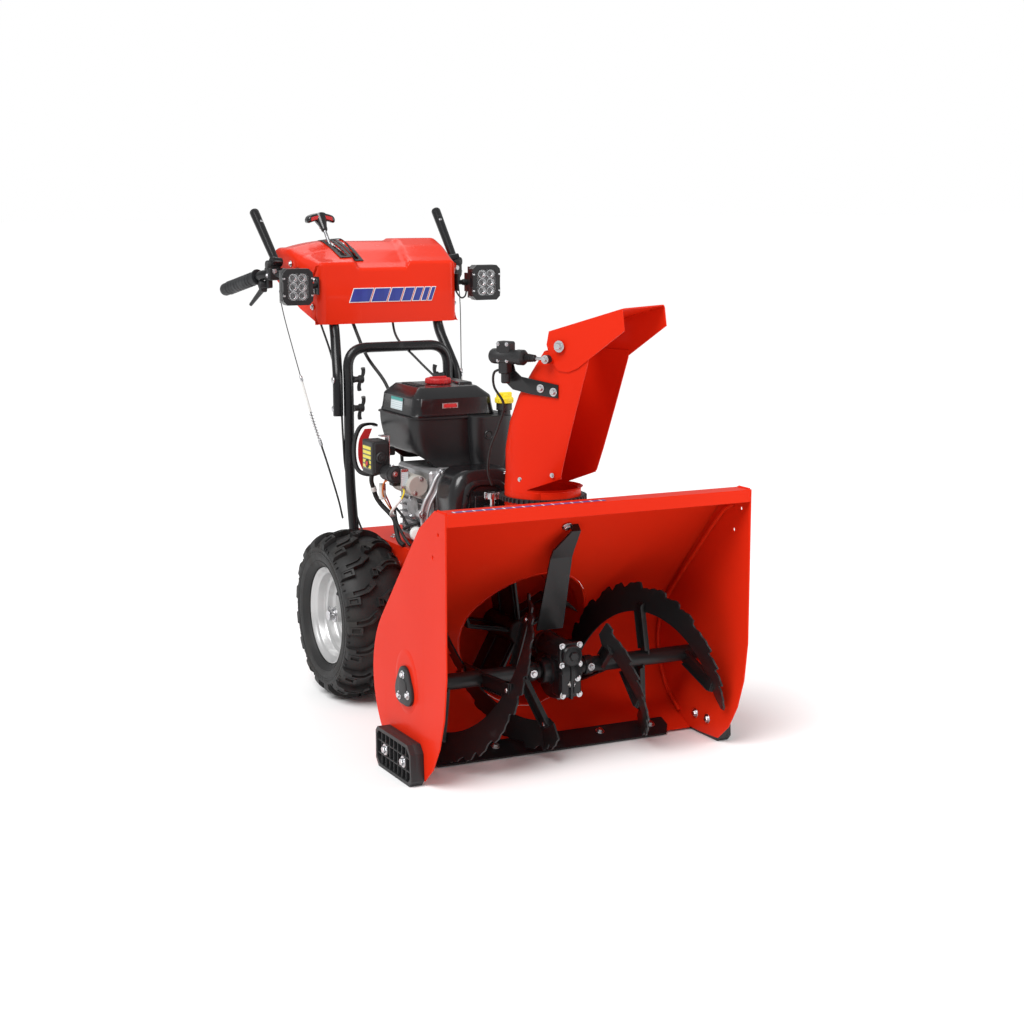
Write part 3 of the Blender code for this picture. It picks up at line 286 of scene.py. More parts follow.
def printedDashes(name, ground, ink, across, pitch, fill, letter="x"):
    # a sticker: dashes of ink at a steady pitch, inside a plain border
    paint = Paint(name, Coat_Weight=0.3, IOR=1.45)
    phase = paint.axis(letter).maths("FRACT", paint.axis(letter) / pitch)
    dash = paint.between(phase, fill, fill + 0.05)
    yellowing = paint.noise(60.0, 3.0)
    colour = paint.mix(dash, ink, ground)
    colour = paint.mix(yellowing * 0.12, colour, across)
    paint.bump((paint.noise(500.0, 2.0), 0.05, 0.0003))
    return paint.done(colour, 0.34 + yellowing * 0.12)


def lampGlass(name):
    # clear polycarbonate cover, faintly hazed
    paint = Paint(name, IOR=1.5, Coat_Weight=0.5)
    haze = paint.noise(90.0, 4.0)
    paint.bump((paint.noise(320.0, 2.0), 0.04, 0.0004))
    return paint.done((0.92, 0.94, 0.96), 0.05 + haze * 0.06, Alpha=0.035 + haze * 0.03)


def mirrorCup(name):
    # vacuum-metallised reflector
    paint = Paint(name, Metallic=1.0)
    ripple = paint.noise(420.0, 2.0)
    paint.bump((ripple, 0.08, 0.0005))
    return paint.done(paint.mix(ripple * 0.3, (0.86, 0.87, 0.88), (0.62, 0.64, 0.66)), 0.1 + ripple * 0.08)


paints = {"redSheet": paintedRed("red_enamel", redSheet, 0.3, 0.05, 330.0),
    "redPlastic": paintedRed("red_cowl_plastic", dict(redSheet, colour=(0.76, 0.032, 0.01)), 0.22, 0.2,
    520.0), "powderBlack": powderBlack("black_powder_coat"),
    "barBlack": powderBlack("black_tube_enamel", (0.007, 0.0072, 0.0082), 0.2, 300.0, 0.07),
    "workedBlack": powderBlack("black_auger_paint", (0.0075, 0.0075, 0.008), 0.36, 260.0, 0.22),
    "plasticBlack": moulded("black_moulding", (0.014, 0.014, 0.015), 0.46),
    "tankBlack": moulded("black_tank_plastic", (0.01, 0.01, 0.011), 0.34, 1100.0, 0.12),
    "coverBlack": moulded("black_gloss_cover", (0.008, 0.008, 0.009), 0.2, 1300.0, 0.05, coat=0.4),
    "capRed": moulded("red_cap_plastic", (0.5, 0.016, 0.018), 0.4),
    "capYellow": moulded("yellow_cap_plastic", (0.83, 0.68, 0.016), 0.38, tint=(0.86, 0.76, 0.1)),
    "whiteNylon": moulded("white_nylon", (0.7, 0.7, 0.67), 0.42),
    "orangeWire": moulded("orange_wire", (0.75, 0.2, 0.02), 0.42), "tyre": tyreRubber("tyre_rubber"),
    "grip": gripRubber("grip_rubber"), "hose": moulded("black_hose_rubber", (0.012, 0.012, 0.012), 0.52,
    1200.0, 0.12), "rim": silverPaint("wheel_silver"), "zinc": plated("zinc_plate"),
    "shaft": plated("bright_shaft", (0.58, 0.58, 0.6), (0.5, 0.47, 0.42), 0.2, 160.0),
    "cast": sandCast("cast_aluminium"), "discGrey": moulded("grey_coated_disc", (0.4, 0.385, 0.35), 0.48,
    700.0, 0.2), "hot": heatedSteel("muffler_steel"), "mirror": mirrorCup("lamp_mirror"),
    "glass": lampGlass("lamp_glass"), "lampChip": moulded("lamp_chip", (0.85, 0.8, 0.52), 0.35, 1800.0,
    0.1), "tickStrip": printedDashes("strip_decal", (0.8, 0.8, 0.82), (0.03, 0.05, 0.3),
    (0.75, 0.74, 0.7), 0.022, 0.8),
    "tealLabel": printedDashes("teal_label", (0.02, 0.34, 0.3), (0.02, 0.3, 0.27), (0.05, 0.36, 0.32),
    0.02, 0.5), "greyLabel": printedDashes("grey_lined_label", (0.66, 0.74, 0.76), (0.42, 0.5, 0.54),
    (0.6, 0.66, 0.64), 0.0046, 0.34, "z"),
    "yellowLabel": printedDashes("yellow_label", (0.72, 0.62, 0.03), (0.05, 0.05, 0.04),
    (0.66, 0.58, 0.1), 0.011, 0.3, "z"),
    "blueDecal": printedDashes("blue_decal", (0.012, 0.03, 0.26), (0.01, 0.026, 0.23), (0.02, 0.04, 0.28),
    0.03, 0.5), "whiteDecal": printedDashes("white_decal", (0.8, 0.8, 0.8), (0.77, 0.77, 0.77),
    (0.72, 0.72, 0.69), 0.03, 0.5),}
print("finishes:", len(paints))


# surfaces: arrays of points in, one closed mesh out
def piece(name, shapes, finish, node=None, body=None, sharp=32, slot=None):
    # shapes are (points, faces) pairs in the design's lengths; a piece that stands for a CAD node
    # takes its body
    points, faces, first = [], [], 0
    for some, theirs in shapes:
        points.append(np.asarray(some, float).reshape(-1, 3) + (0, frontEdge, 0))
        faces += [[first + i for i in face] for face in theirs]
        first += len(points[-1])
    mesh = bpy.data.meshes.new(name)
    mesh.from_pydata(np.concatenate(points), [], faces)
    return adopt(name, mesh, finish, node, body, sharp, slot)


def adopt(name, mesh, finish, node=None, body=None, sharp=32, slot=None):
    mesh.materials.clear()
    mesh.materials.append(paints[finish])
    mesh.shade_smooth()
    mesh.set_sharp_from_angle(angle=math.radians(sharp))
    made = bpy.data.objects.new(name, mesh)
    bpy.context.scene.collection.objects.link(made)
    if node:
        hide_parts(node)
    if body != "between":
        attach(made, body or bodyOf.get(node, "machine"))
    slot = slot or (slotOf[node] if node else None)
    return made


def rolled(rows, columns, closedRows=False, closedColumns=True):
    # quads of a grid of points, whose rows or columns may close on themselves
    r = np.arange(rows if closedRows else rows - 1)[:, None]
    c = np.arange(columns if closedColumns else columns - 1)[None, :]
    r2 = (r + 1) % rows
    c2 = (c + 1) % columns
    quads = np.stack([r * columns + c + 0 * r2, r * columns + c2, r2 * columns + c2, r2 * columns + c],
        axis=-1)
    return quads.reshape(-1, 4).tolist()


def outward(points, faces):
    # the signed volume of the cones from the middle to every face is below zero where the faces look in
    middle = points.mean(axis=0)
    total = 0.0
    for size in {len(face) for face in faces}:
        corners = points[np.array([face for face in faces if len(face) == size])] - middle
        total += np.einsum("ij,ikj->", corners[:, 0], np.cross(corners[:, 1:-1], corners[:, 2:]))
    return [face[::-1] for face in faces] if total < 0 else faces


def skin(rings, loop=False):
    # rings: (rows, columns, 3), each row a closed ring; unless the rows close too, the ends are filled
    rings = np.asarray(rings, float)
    rows, columns = rings.shape[:2]
    faces = rolled(rows, columns, closedRows=loop)
    if not loop:
        faces.append(list(range(columns))[::-1])
        faces.append(list(range((rows - 1) * columns, rows * columns)))
    points = rings.reshape(-1, 3)
    return points, outward(points, faces)


def basis(direction):
    # two unit vectors across a direction
    along = np.asarray(direction, float) / np.linalg.norm(direction)
    helper = np.array((0, 0, 1.0)) if abs(along[2]) < 0.9 else np.array((1.0, 0, 0))
    across = np.cross(helper, along)
    across /= np.linalg.norm(across)
    return across, np.cross(along, across), along


def turned(profile, centre, direction, steps=48, loop=False, start=0.0):
    # a (radius, height) profile carried round an axis through the centre
    profile = np.asarray(profile, float)
    u, v, w = basis(direction)
    angle = np.linspace(0, 2 * math.pi, steps, endpoint=False) + start
    round_ = np.cos(angle)[:, None] * u + np.sin(angle)[:, None] * v
    rings = (np.asarray(centre, float) + profile[:, None, 0:1] * round_[None] + profile[:, None, 1:2]
        * w[None, None])
    return skin(rings, loop=loop)


def smoothPath(points, perLeg=8):
    # Catmull-Rom through given points
    points = np.asarray(points, float)
    padded = np.concatenate([points[:1] * 2 - points[1:2], points, points[-1:] * 2 - points[-2:-1]])
    t = np.linspace(0, 1, perLeg, endpoint=False)[:, None]
    legs = []
    for a, b, c, d in zip(padded, padded[1:], padded[2:], padded[3:]):
        legs.append(0.5 * (2 * b + (c - a) * t + (2 * a - 5 * b + 4 * c - d) * t ** 2
            + (3 * b - a - 3 * c + d) * t ** 3))
    return np.concatenate(legs + [points[-1:]])


def roundedCorners(points, radius, count=7):
    # straight legs whose corners are rounded by a quadratic curve
    points = np.asarray(points, float)
    out = [points[:1]]
    t = np.linspace(0, 1, count)[:, None]
    for before, corner, after in zip(points, points[1:], points[2:]):
        a = corner + (before - corner) / np.linalg.norm(before - corner) * radius
        b = corner + (after - corner) / np.linalg.norm(after - corner) * radius
        out.append((1 - t) ** 2 * a + 2 * t * (1 - t) * corner + t ** 2 * b)
    return np.concatenate(out + [points[-1:]])


def carried(section, path, scale=None, up=None, loop=False):
    # a closed (u, v) section carried along a path with a frame that turns as little as it can
    path = np.asarray(path, float)
    section = np.asarray(section, float)
    tangent = np.gradient(path, axis=0)
    if loop:
        tangent = np.roll(path, -1, axis=0) - np.roll(path, 1, axis=0)
    tangent /= np.linalg.norm(tangent, axis=1)[:, None]
    across, other, _ = basis(tangent[0])
    if up is not None:
        across = np.cross(up, tangent[0])
        across /= np.linalg.norm(across)
    frames = []
    for way in tangent:
        across = across - way * across.dot(way)
        across /= np.linalg.norm(across)
        frames.append((across, np.cross(way, across)))
    frames = np.array(frames)
    size = np.ones(len(path)) if scale is None else np.asarray(scale, float)
    rings = (path[:, None] + size[:, None, None]
        * (section[None, :, 0:1] * frames[:, None, 0] + section[None, :, 1:2] * frames[:, None, 1]))
    return skin(rings, loop=loop)


def ringOf(radius, count=16):
    angle = np.linspace(0, 2 * math.pi, count, endpoint=False)
    return np.stack([radius * np.cos(angle), radius * np.sin(angle)], axis=1)


def pipe(path, radius, count=16, scale=None):
    # a round tube with slightly rounded ends
    path = np.asarray(path, float)
    head = (path[1] - path[0]) / np.linalg.norm(path[1] - path[0])
    tail = (path[-1] - path[-2]) / np.linalg.norm(path[-1] - path[-2])
    lip = radius * 0.15
    path = np.concatenate([path[:1], path[:1] + head * lip, path[1:-1], path[-1:] - tail * lip, path[-1:]])
    size = np.ones(len(path)) if scale is None else np.concatenate([[scale[0]], scale, [scale[-1]]])
    size[0] *= 0.86
    size[-1] *= 0.86
    return carried(ringOf(radius, count), path, size)


def slab(outline, low, high, bevel, toWorld):
    # a flat outline given a thickness and rolled edges; toWorld turns (u, v, height) rows into places
    outline = np.asarray(outline, float)
    before = outline - np.roll(outline, 1, axis=0)
    after = np.roll(outline, -1, axis=0) - outline
    way = before / np.linalg.norm(before, axis=1)[:, None] + after / np.linalg.norm(after, axis=1)[:, None]
    way /= np.maximum(np.linalg.norm(way, axis=1)[:, None], 1e-9)
    area = np.sum(outline[:, 0] * np.roll(outline[:, 1], -1) - np.roll(outline[:, 0], -1) * outline[:, 1])
    inward = np.stack([-way[:, 1], way[:, 0]], axis=1) * (1 if area > 0 else -1)
    rows = []
    for shrink, height in ((1.0, low), (0.29, low + 0.29 * bevel), (0.0, low + bevel),
            (0.0, high - bevel), (0.29, high - 0.29 * bevel), (1.0, high)):
        flat = outline + inward * bevel * shrink
        rows.append(np.column_stack([flat, np.full(len(flat), height)]))
    return skin(np.array([toWorld(row) for row in rows]))


def plane(letter, offset=0.0):
    # how a flat outline stands: "x" uses (y, z) with the height along X, and so on
    order = {"x": (2, 0, 1), "y": (0, 2, 1), "z": (0, 1, 2)}[letter]

    def toWorld(rows):
        shifted = np.column_stack([rows[:, 0], rows[:, 1], rows[:, 2] + offset])
        return shifted[:, order]
    return toWorld


def roundBox(low, high, radius, faces="xXyYzZ", count=6, shape=None):
    # the sides of a sharp box pulled onto a box with rounded edges: each point goes to the nearest
    # point
    # of the inner box plus the radius outwards; shape then bends the whole array of points
    low, high = np.asarray(low, float), np.asarray(high, float)
    radius = min(radius, *(0.499 * (high - low)))
    bend = np.array((0, 0.3, 0.6, 0.85, 1.0)) * radius
    lines = []
    for k in range(3):
        middle = np.linspace(low[k] + radius, high[k] - radius, count)
        lines.append(np.unique(np.concatenate([low[k] + bend, middle, high[k] - bend])))
    allPoints, allFaces, first = [], [], 0
    for letter in faces:
        k = "xyz".index(letter.lower())
        a, b = (k + 1) % 3, (k + 2) % 3
        grid = np.empty((len(lines[a]), len(lines[b]), 3))
        grid[..., a] = lines[a][:, None]
        grid[..., b] = lines[b][None, :]
        grid[..., k] = high[k] if letter.isupper() else low[k]
        quads = rolled(len(lines[a]), len(lines[b]), closedColumns=False)
        if letter.isupper():
            quads = [quad[::-1] for quad in quads]
        allFaces += [[first + i for i in quad] for quad in quads]
        allPoints.append(grid.reshape(-1, 3))
        first += len(allPoints[-1])
    points = np.concatenate(allPoints)
    core = np.clip(points, low + radius, high - radius)
    away = points - core
    away /= np.linalg.norm(away, axis=1)[:, None]
    points = core + away * radius
    # shared edges become shared points
    key, index = np.unique(np.round(points, 7), axis=0, return_inverse=True)
    index = index.reshape(-1)
    quads = [[int(index[i]) for i in quad] for quad in allFaces]
    if shape:
        key = shape(key)
    return key, [quad for quad in quads if len(set(quad)) == 4]


def hexHead(at, direction, size=0.0065, washer=True):
    # a bolt head: washer, hexagon with a chamfered top
    shapes = []
    lift = 0.0
    if washer:
        shapes.append(turned([(size * 1.55, 0), (size * 1.55, size * 0.16), (size * 1.5, size * 0.22)],
            at, direction, 20))
        lift = size * 0.2
    shapes.append(turned([(size, lift), (size, lift + size * 0.55), (size * 0.86, lift + size * 0.72)],
        at, direction, 6))
    return shapes


def sheet(grid, keep, thick):
    # a grid of points given a thickness along its normals; quads left out become clean holes
    rows, columns = grid.shape[:2]
    normal = np.cross(np.gradient(grid, axis=0), np.gradient(grid, axis=1))
    normal /= np.maximum(np.linalg.norm(normal, axis=2)[..., None], 1e-12)
    points = np.concatenate([grid.reshape(-1, 3), (grid - normal * thick).reshape(-1, 3)])
    quads = np.array(rolled(rows, columns, closedColumns=False))[keep.reshape(-1)]
    count = rows * columns
    ways = np.concatenate([quads[:, [k, (k + 1) % 4]] for k in range(4)])
    there = set(map(tuple, ways.tolist()))
    walls = [[b, a, a + count, b + count] for a, b in there if (b, a) not in there]
    faces = quads.tolist() + (quads[:, ::-1] + count).tolist() + sorted(walls)
    used = np.unique(np.concatenate([np.array(faces).reshape(-1)]))
    place = np.full(2 * count, -1)
    place[used] = np.arange(len(used))
    faces = [[int(place[i]) for i in face] for face in faces]
    return points[used], outward(points[used], faces)


def bolts(name, body, places, finish="zinc", washer=True):
    shapes = []
    for at, direction, size in places:
        shapes += hexHead(at, direction, size, washer)
    return piece(name, shapes, finish, body=body, sharp=25)


def dressed(node, finish, bevel=0.0007, sharp=30, flat=True):
    # the CAD shape itself, merged, with rolled edges and smooth round sides
    source = frame["nodes"][node].data
    bm = bmesh.new()
    bm.from_mesh(source)
    bmesh.ops.remove_doubles(bm, verts=bm.verts, dist=0.00002)
    if flat:
        bmesh.ops.dissolve_limit(bm, angle_limit=math.radians(0.6), verts=bm.verts, edges=bm.edges)
    bmesh.ops.recalc_face_normals(bm, faces=bm.faces)
    mesh = bpy.data.meshes.new(node + "_skin")
    bm.to_mesh(mesh)
    bm.free()
    made = adopt(node + "_skin", mesh, finish, node, sharp=sharp)
    if bevel:
        edge = made.modifiers.new("rolled_edge", "BEVEL")
        edge.width = bevel
        edge.segments = 2
        edge.limit_method = "ANGLE"
        edge.angle_limit = math.radians(32)
        edge.harden_normals = True
    return made


# wheels
wheel = {"x": 0.22, "y": 0.854, "z": 0.203, "top": 0.2028, "base": 0.1895, "half": 0.0795, "pitches": 17,
         "barWidth": 0.0155, "blockWidth": 0.0185, "treadFall": 0.026}


def treadRadius(across, height):
    # a crown that falls away towards the shoulders as the 3.4th power of the distance from the middle
    return height - wheel["treadFall"] * np.abs(across / wheel["half"]) ** 3.4


def strip(line, width):
    # outline of a bar of one width along a bent centre line, closed at both ends, with points about
    # 6 mm apart
    line = np.asarray(line, float)
    step = np.diff(line, axis=0)
    step /= np.linalg.norm(step, axis=1)[:, None]
    way = np.concatenate([step[:1], step[:-1] + step[1:], step[-1:]])
    way /= np.linalg.norm(way, axis=1)[:, None]
    side = np.stack([-way[:, 1], way[:, 0]], axis=1) * width / 2
    corners = np.concatenate([line + side, (line - side)[::-1]])
    out = []
    for a, b in zip(corners, np.roll(corners, -1, axis=0)):
        count = max(1, int(np.linalg.norm(b - a) / 0.006))
        out.append(a + (b - a) * np.linspace(0, 1, count, endpoint=False)[:, None])
    return np.concatenate(out)


def lug(outline, turn, mirror, sign):
    # rings of one lug: down in the carcass, up to the top edge, in to a pocket and down to its floor
    middle = outline.mean(axis=0)
    rings = []
    for shrink, height in ((1.04, wheel["base"] - 0.006), (1.0, wheel["top"] - 0.0016),
            (0.93, wheel["top"]), (0.6, wheel["top"]), (0.5, wheel["top"] - 0.0052)):
        uv = middle + (outline - middle) * shrink
        across = np.clip(uv[:, 1], -0.0795, 0.0795) * mirror
        radius = treadRadius(across, height)
        angle = uv[:, 0] / wheel["top"] * mirror + turn
        rings.append(np.column_stack([sign * across, radius * np.cos(angle), radius * np.sin(angle)]))
    return skin(np.array(rings))


def tyre(sign, tag):
    centre = np.array((sign * wheel["x"], wheel["y"], wheel["z"]))
    base, half = wheel["base"], wheel["half"]
    across = np.linspace(half - 0.004, -half + 0.004, 25)
    crown = np.column_stack([treadRadius(across, base), across])
    wall = [(0.1635, -half), (0.155, -0.0785), (0.153, -0.0798), (0.15, -0.0785), (0.143, -0.0792),
        (0.134, -0.0765), (0.1325, -0.0778), (0.13, -0.0752), (0.123, -0.071), (0.1185, -0.065),
        (0.1178, -0.0605), (0.1172, -0.058)]
    wall = np.array(wall)
    other = wall[::-1] * (1, -1)
    profile = np.concatenate([crown, wall, other])
    shapes = [turned(profile, (0, 0, 0), (1, 0, 0), 96, loop=True)]
    bar = strip([(-0.014, 0.007), (0.004, 0.03), (0.01, 0.056), (0.011, 0.078)], wheel["barWidth"])
    shoulder = strip([(0.0, 0.049), (0.0, 0.078)], wheel["blockWidth"])
    block = strip([(-0.012, 0.0015), (0.01, 0.0015)], 0.013)
    pitch = 2 * math.pi / wheel["pitches"]
    for mirror, offset in ((1, 0.0), (-1, 0.5)):
        for k in range(wheel["pitches"]):
            at = (k + offset) * pitch
            shapes.append(lug(bar + (0.01, 0), at, mirror, sign))
            shapes.append(lug(shoulder, at + mirror * 0.5 * pitch, mirror, sign))
        if mirror == 1:
            for k in range(wheel["pitches"]):
                shapes.append(lug(block, (k + 0.62) * pitch, 1, sign))
    # fine ribs that run over the shoulder onto the side wall
    rib = strip([(0.0, -0.0045), (0.0, 0.0045)], 0.004)
    for k in range(wheel["pitches"] * 4):
        at = k * pitch / 4
        for face in (-1, 1):
            rings = []
            for radius, reach in ((0.148, 0.0775), (0.15, 0.079), (0.163, 0.0794), (0.172, 0.077)):
                angle = np.array((-0.006, 0.006, 0.006, -0.006)) + at
                depth = np.array((reach, reach, reach - 0.004, reach - 0.004))
                rings.append(np.column_stack([face * depth, radius * np.cos(angle), radius
                    * np.sin(angle)]))
            shapes.append(skin(np.array(rings)))
    shapes = [(points + centre, faces) for points, faces in shapes]
    return piece("tyre_tread_" + tag, shapes, "tyre", "tyre_" + tag, sharp=28)


def rim(sign, tag):
    centre = (sign * wheel["x"], wheel["y"], wheel["z"])
    outer = [(0.1168, 0.056), (0.1172, 0.0605), (0.116, 0.0628), (0.1138, 0.0632), (0.1115, 0.0618),
        (0.1075, 0.056), (0.105, 0.0535), (0.1015, 0.0522), (0.1, 0.05), (0.099, 0.038), (0.0965, 0.033),
        (0.0905, 0.0312), (0.0875, 0.029), (0.086, 0.018), (0.0835, 0.013), (0.079, 0.0108),
        (0.055, 0.0125), (0.0505, 0.015), (0.03, 0.016), (0.0265, 0.0185), (0.0215, 0.019),
        (0.0205, 0.021), (0.0205, 0.044), (0.0195, 0.045), (0.0145, 0.045), (0.0138, 0.044)]
    inner = [(0.0132, 0.01), (0.05, 0.01), (0.055, 0.0075), (0.079, 0.006), (0.087, 0.009),
        (0.0915, 0.02), (0.096, -0.01), (0.101, -0.048), (0.1125, -0.059), (0.1165, -0.062),
        (0.117, -0.056), (0.105, -0.048), (0.1035, 0.048)]
    shapes = [turned(outer + inner, centre, (sign, 0, 0), 96, loop=True)]
    piece("wheel_rim_" + tag, shapes, "rim", "rim_" + tag, sharp=40)
    # hub nut, click pin and valve
    end = np.array((sign * (wheel["x"] + 0.062), wheel["y"], wheel["z"]))
    way = np.array((sign, 0, 0.0))
    nut = hexHead(end - way * 0.016, way, 0.0115)
    collar = turned([(0.0165, 0), (0.0175, 0.002), (0.0175, 0.008), (0.0165, 0.01)], end - way * 0.026,
        way, 32)
    pin = pipe([end + (-sign * 0.009, -0.026, 0.004), end + (-sign * 0.009, 0.026, 0.004)], 0.003, 12)
    bow = smoothPath([end + (-sign * 0.009, -0.024, 0.004), end + (sign * 0.001, -0.03, 0.016), end
        + (sign * 0.0, -0.004, 0.024), end + (-sign * 0.009, 0.022, 0.006)])
    piece("hub_nut_" + tag, nut + [collar, pin, pipe(bow, 0.0013, 8)], "zinc", body="wheel_" + tag,
        sharp=25)
    stem = np.array(centre) + (sign * 0.03, -0.06, 0.058)
    lean = np.array((sign, -0.25, 0.25))
    valve = turned([(0.0062, 0), (0.0062, 0.004), (0.0042, 0.008), (0.004, 0.024), (0.0046, 0.025),
        (0.0046, 0.034), (0.0036, 0.036)], stem, lean, 20)
    piece("valve_" + tag, [valve], "hose", body="wheel_" + tag)


for sign, tag in sides:
    tyre(sign, tag)
    rim(sign, tag)
    dressed("half_axle_" + tag, "shaft", 0.0004)
print("wheels made")


# collecting head
head = {"plateX": 0.3575, "shoe": 0.03, "bearing": (0.2, 0.19), "boltCircle": 0.0275, "scraperTilt": 22.0,
        "barTop": 0.5862, "strip": (-0.335, 0.01)}


def steppedRing(outline, inset, low, high, toWorld):
    # a wall of even thickness standing on an outline: out, up, in and down again
    outline = np.asarray(outline, float)
    middle = outline.mean(axis=0)
    reach = np.abs(outline - middle).max(axis=0)
    inner = middle + (outline - middle) * (1 - inset / reach)
    rows = []
    for flat, height in ((outline, low), (outline, high), (inner, high), (inner, low)):
        rows.append(np.column_stack([flat, np.full(len(flat), height)]))
    return skin(np.array([toWorld(row) for row in rows]), loop=True)


def resampled(outline, step=0.008):
    out = []
    outline = np.asarray(outline, float)
    for a, b in zip(outline, np.roll(outline, -1, axis=0)):
        count = max(1, int(np.linalg.norm(b - a) / step))
        out.append(a + (b - a) * np.linspace(0, 1, count, endpoint=False)[:, None])
    return np.concatenate(out)


def skidShoe(sign, tag):
    outline = resampled([(0.12, 0.001), (0.285, 0.001), (0.299, 0.016), (0.299, 0.077), (0.289, 0.087),
        (0.129, 0.087), (0.113, 0.07), (0.109, 0.013)])
    low = head["plateX"] + 0.0003
    side = np.array((sign, 1, 1.0))

    def standing(rows):
        return plane("x")(rows) * side
    shapes = [slab(outline, low, low + 0.019, 0.0015, standing),
        steppedRing(outline, 0.0075, low + 0.018, low + head["shoe"], standing)]
    for y in np.arange(0.142, 0.285, 0.0215):
        shapes.append(roundBox((low + 0.017, y - 0.0016, 0.006), (low + 0.028, y + 0.0016, 0.084), 0.0008,
            count=2))
    for z in (0.03, 0.058):
        shapes.append(roundBox((low + 0.017, 0.113, z - 0.0016), (low + 0.028, 0.295, z + 0.0016), 0.0008,
            count=2))
    shapes = shapes[:2] + [(points * side, faces if sign > 0 else [f[::-1] for f in faces]) for points,
        faces in shapes[2:]]
    for y in (0.155, 0.252):
        shapes.append(turned([(0.0145, 0), (0.0145, 0.009), (0.0135, 0.01)],
            (sign * (low + 0.0175), y, 0.045), (sign, 0, 0), 24))
    piece("skid_" + tag, shapes, "plasticBlack", "skid_shoe_" + tag, sharp=30)
    bolts("skid_bolts_" + tag, "machine", [((sign * (low + 0.0275), y, 0.045), (sign, 0, 0), 0.008)
        for y in (0.155, 0.252)])


def bearingCover(sign, tag):
    # a plate whose radius swells three times a turn, domed a little, with a bolt on each lobe
    y, z = head["bearing"]
    angle = np.linspace(0, 2 * math.pi, 72, endpoint=False)
    radius = 0.0415 + 0.0048 * np.cos(3 * (angle - math.radians(90)))
    outline = np.stack([y + radius * np.cos(angle), z + radius * np.sin(angle)], axis=1)
    low = head["plateX"] + 0.0004
    side = np.array((sign, 1, 1.0))

    def standing(rows):
        return plane("x")(rows) * side
    shapes = [slab(outline, low, low + 0.0085, 0.0024, standing),
        turned([(0.0215, 0.006), (0.0205, 0.0102), (0.014, 0.0114), (0.0, 0.0118)][:3],
        (sign * low, y, z), (sign, 0, 0), 40)]
    piece("bearing_plate_" + tag, shapes, "plasticBlack", "bearing_cover_" + tag)
    places = []
    for degrees in (90, 203, 313):
        a = math.radians(degrees)
        places.append(((sign * (low + 0.0082), y + head["boltCircle"] * math.cos(a), z
            + head["boltCircle"] * math.sin(a)), (sign, 0, 0), 0.0062))
    bolts("bearing_bolts_" + tag, "machine", places)
    # pressed dome in the side plate round the bearing: a cosine swell on an oval
    r = np.array((1.0, 0.93, 0.84, 0.76, 0.7, 0.4))
    lift = 0.0024 * 0.5 * (1 - np.cos(math.pi * np.clip((1 - r) / 0.24, 0, 1)))
    ring = np.stack([np.cos(angle), np.sin(angle)], axis=1)
    rings = [np.column_stack([np.full(72, sign * (head["plateX"] - 0.001 + high)), y + 0.064 * size
        * ring[:, 0], z + 0.012 + 0.078 * size * ring[:, 1]]) for size, high in zip(r, lift)]
    piece("side_press_" + tag, [skin(np.array(rings))], "redSheet", sharp=60, slot="paint_red")


for sign, tag in sides:
    skidShoe(sign, tag)
    bearingCover(sign, tag)
    dressed("side_plate_" + tag, "redSheet", 0.001)
dressed("housing_sheet", "redSheet", 0.0009)
dressed("impeller_housing", "redSheet", 0.0008)
dressed("scraper_bar", "powderBlack", 0.0006)


def supportPlate():
    # a plate that widens downwards as it follows its folded path, with one upper corner cut off
    line = resampled([(0.1405, 0.5175), (0.1265, 0.504), (0.1675, 0.44), (0.2215, 0.265)], 0.0022)
    line = line[:len(line) // 2]
    far = np.concatenate([[0], np.cumsum(np.linalg.norm(np.diff(line, axis=0), axis=1))])
    inside = far < 0.275
    line, far = line[inside], far[inside]
    t = far / far[-1]
    left = np.where(far < 0.07, -0.004 - 0.029 * np.clip((far - 0.016) / 0.054, 0, 1), -0.033 - 0.01 * t)
    right = 0.0145 + 0.0065 * np.clip((t - 0.25) / 0.7, 0, 1)
    across = np.linspace(0, 1, 12)
    x = left[:, None] + (right - left)[:, None] * across
    grid = np.stack([x, np.repeat(line[:, :1], 12, axis=1), np.repeat(line[:, 1:], 12, axis=1)], axis=2)
    keep = np.ones((len(line) - 1, 11), bool)
    piece("support_plate", [sheet(grid, keep, 0.0045)], "workedBlack", "gearbox_support", sharp=40)


supportPlate()

tilt = math.radians(head["scraperTilt"])
scraperTop = np.array((0, -math.sin(tilt), math.cos(tilt)))
low, high = (np.array(corner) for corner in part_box("scraper_bar"))
middle = (low + high) / 2 - (0, frontEdge, 0)
places = [(tuple(middle + (x, 0.008, 0.0052)), tuple(scraperTop), 0.0068)
    for x in (-0.26, -0.13, 0.0, 0.13, 0.26)]
places.append(((-0.012, 0.1405, 0.5135), (0, -math.sin(math.radians(43)), -math.cos(math.radians(43))),
    0.0075))
bolts("head_bolts", "machine", places)

# welds where the bar meets the side plates: a bead whose radius ripples along its length
beads = []
for sign, _ in sides:
    along = np.linspace(0, 1, 60)
    path = np.column_stack([np.full(60, sign * 0.3536), 0.003 + 0.042 * along, np.full(60, 0.5862)])
    beads.append(pipe(path, 0.0021, 10, 1 + 0.28 * np.abs(np.sin(along * 38))))
    path = np.column_stack([np.full(60, sign * 0.3536), np.full(60, 0.0012), 0.56 + 0.025 * along])
    beads.append(pipe(path, 0.0019, 10, 1 + 0.28 * np.abs(np.sin(along * 25))))
piece("bar_welds", beads, "redSheet", slot="paint_red")
left, right = head["strip"]
piece("bar_strip", [roundBox((left, 0.01, head["barTop"]), (right, 0.022, head["barTop"] + 0.0005),
    0.0002, count=2)], "tickStrip")


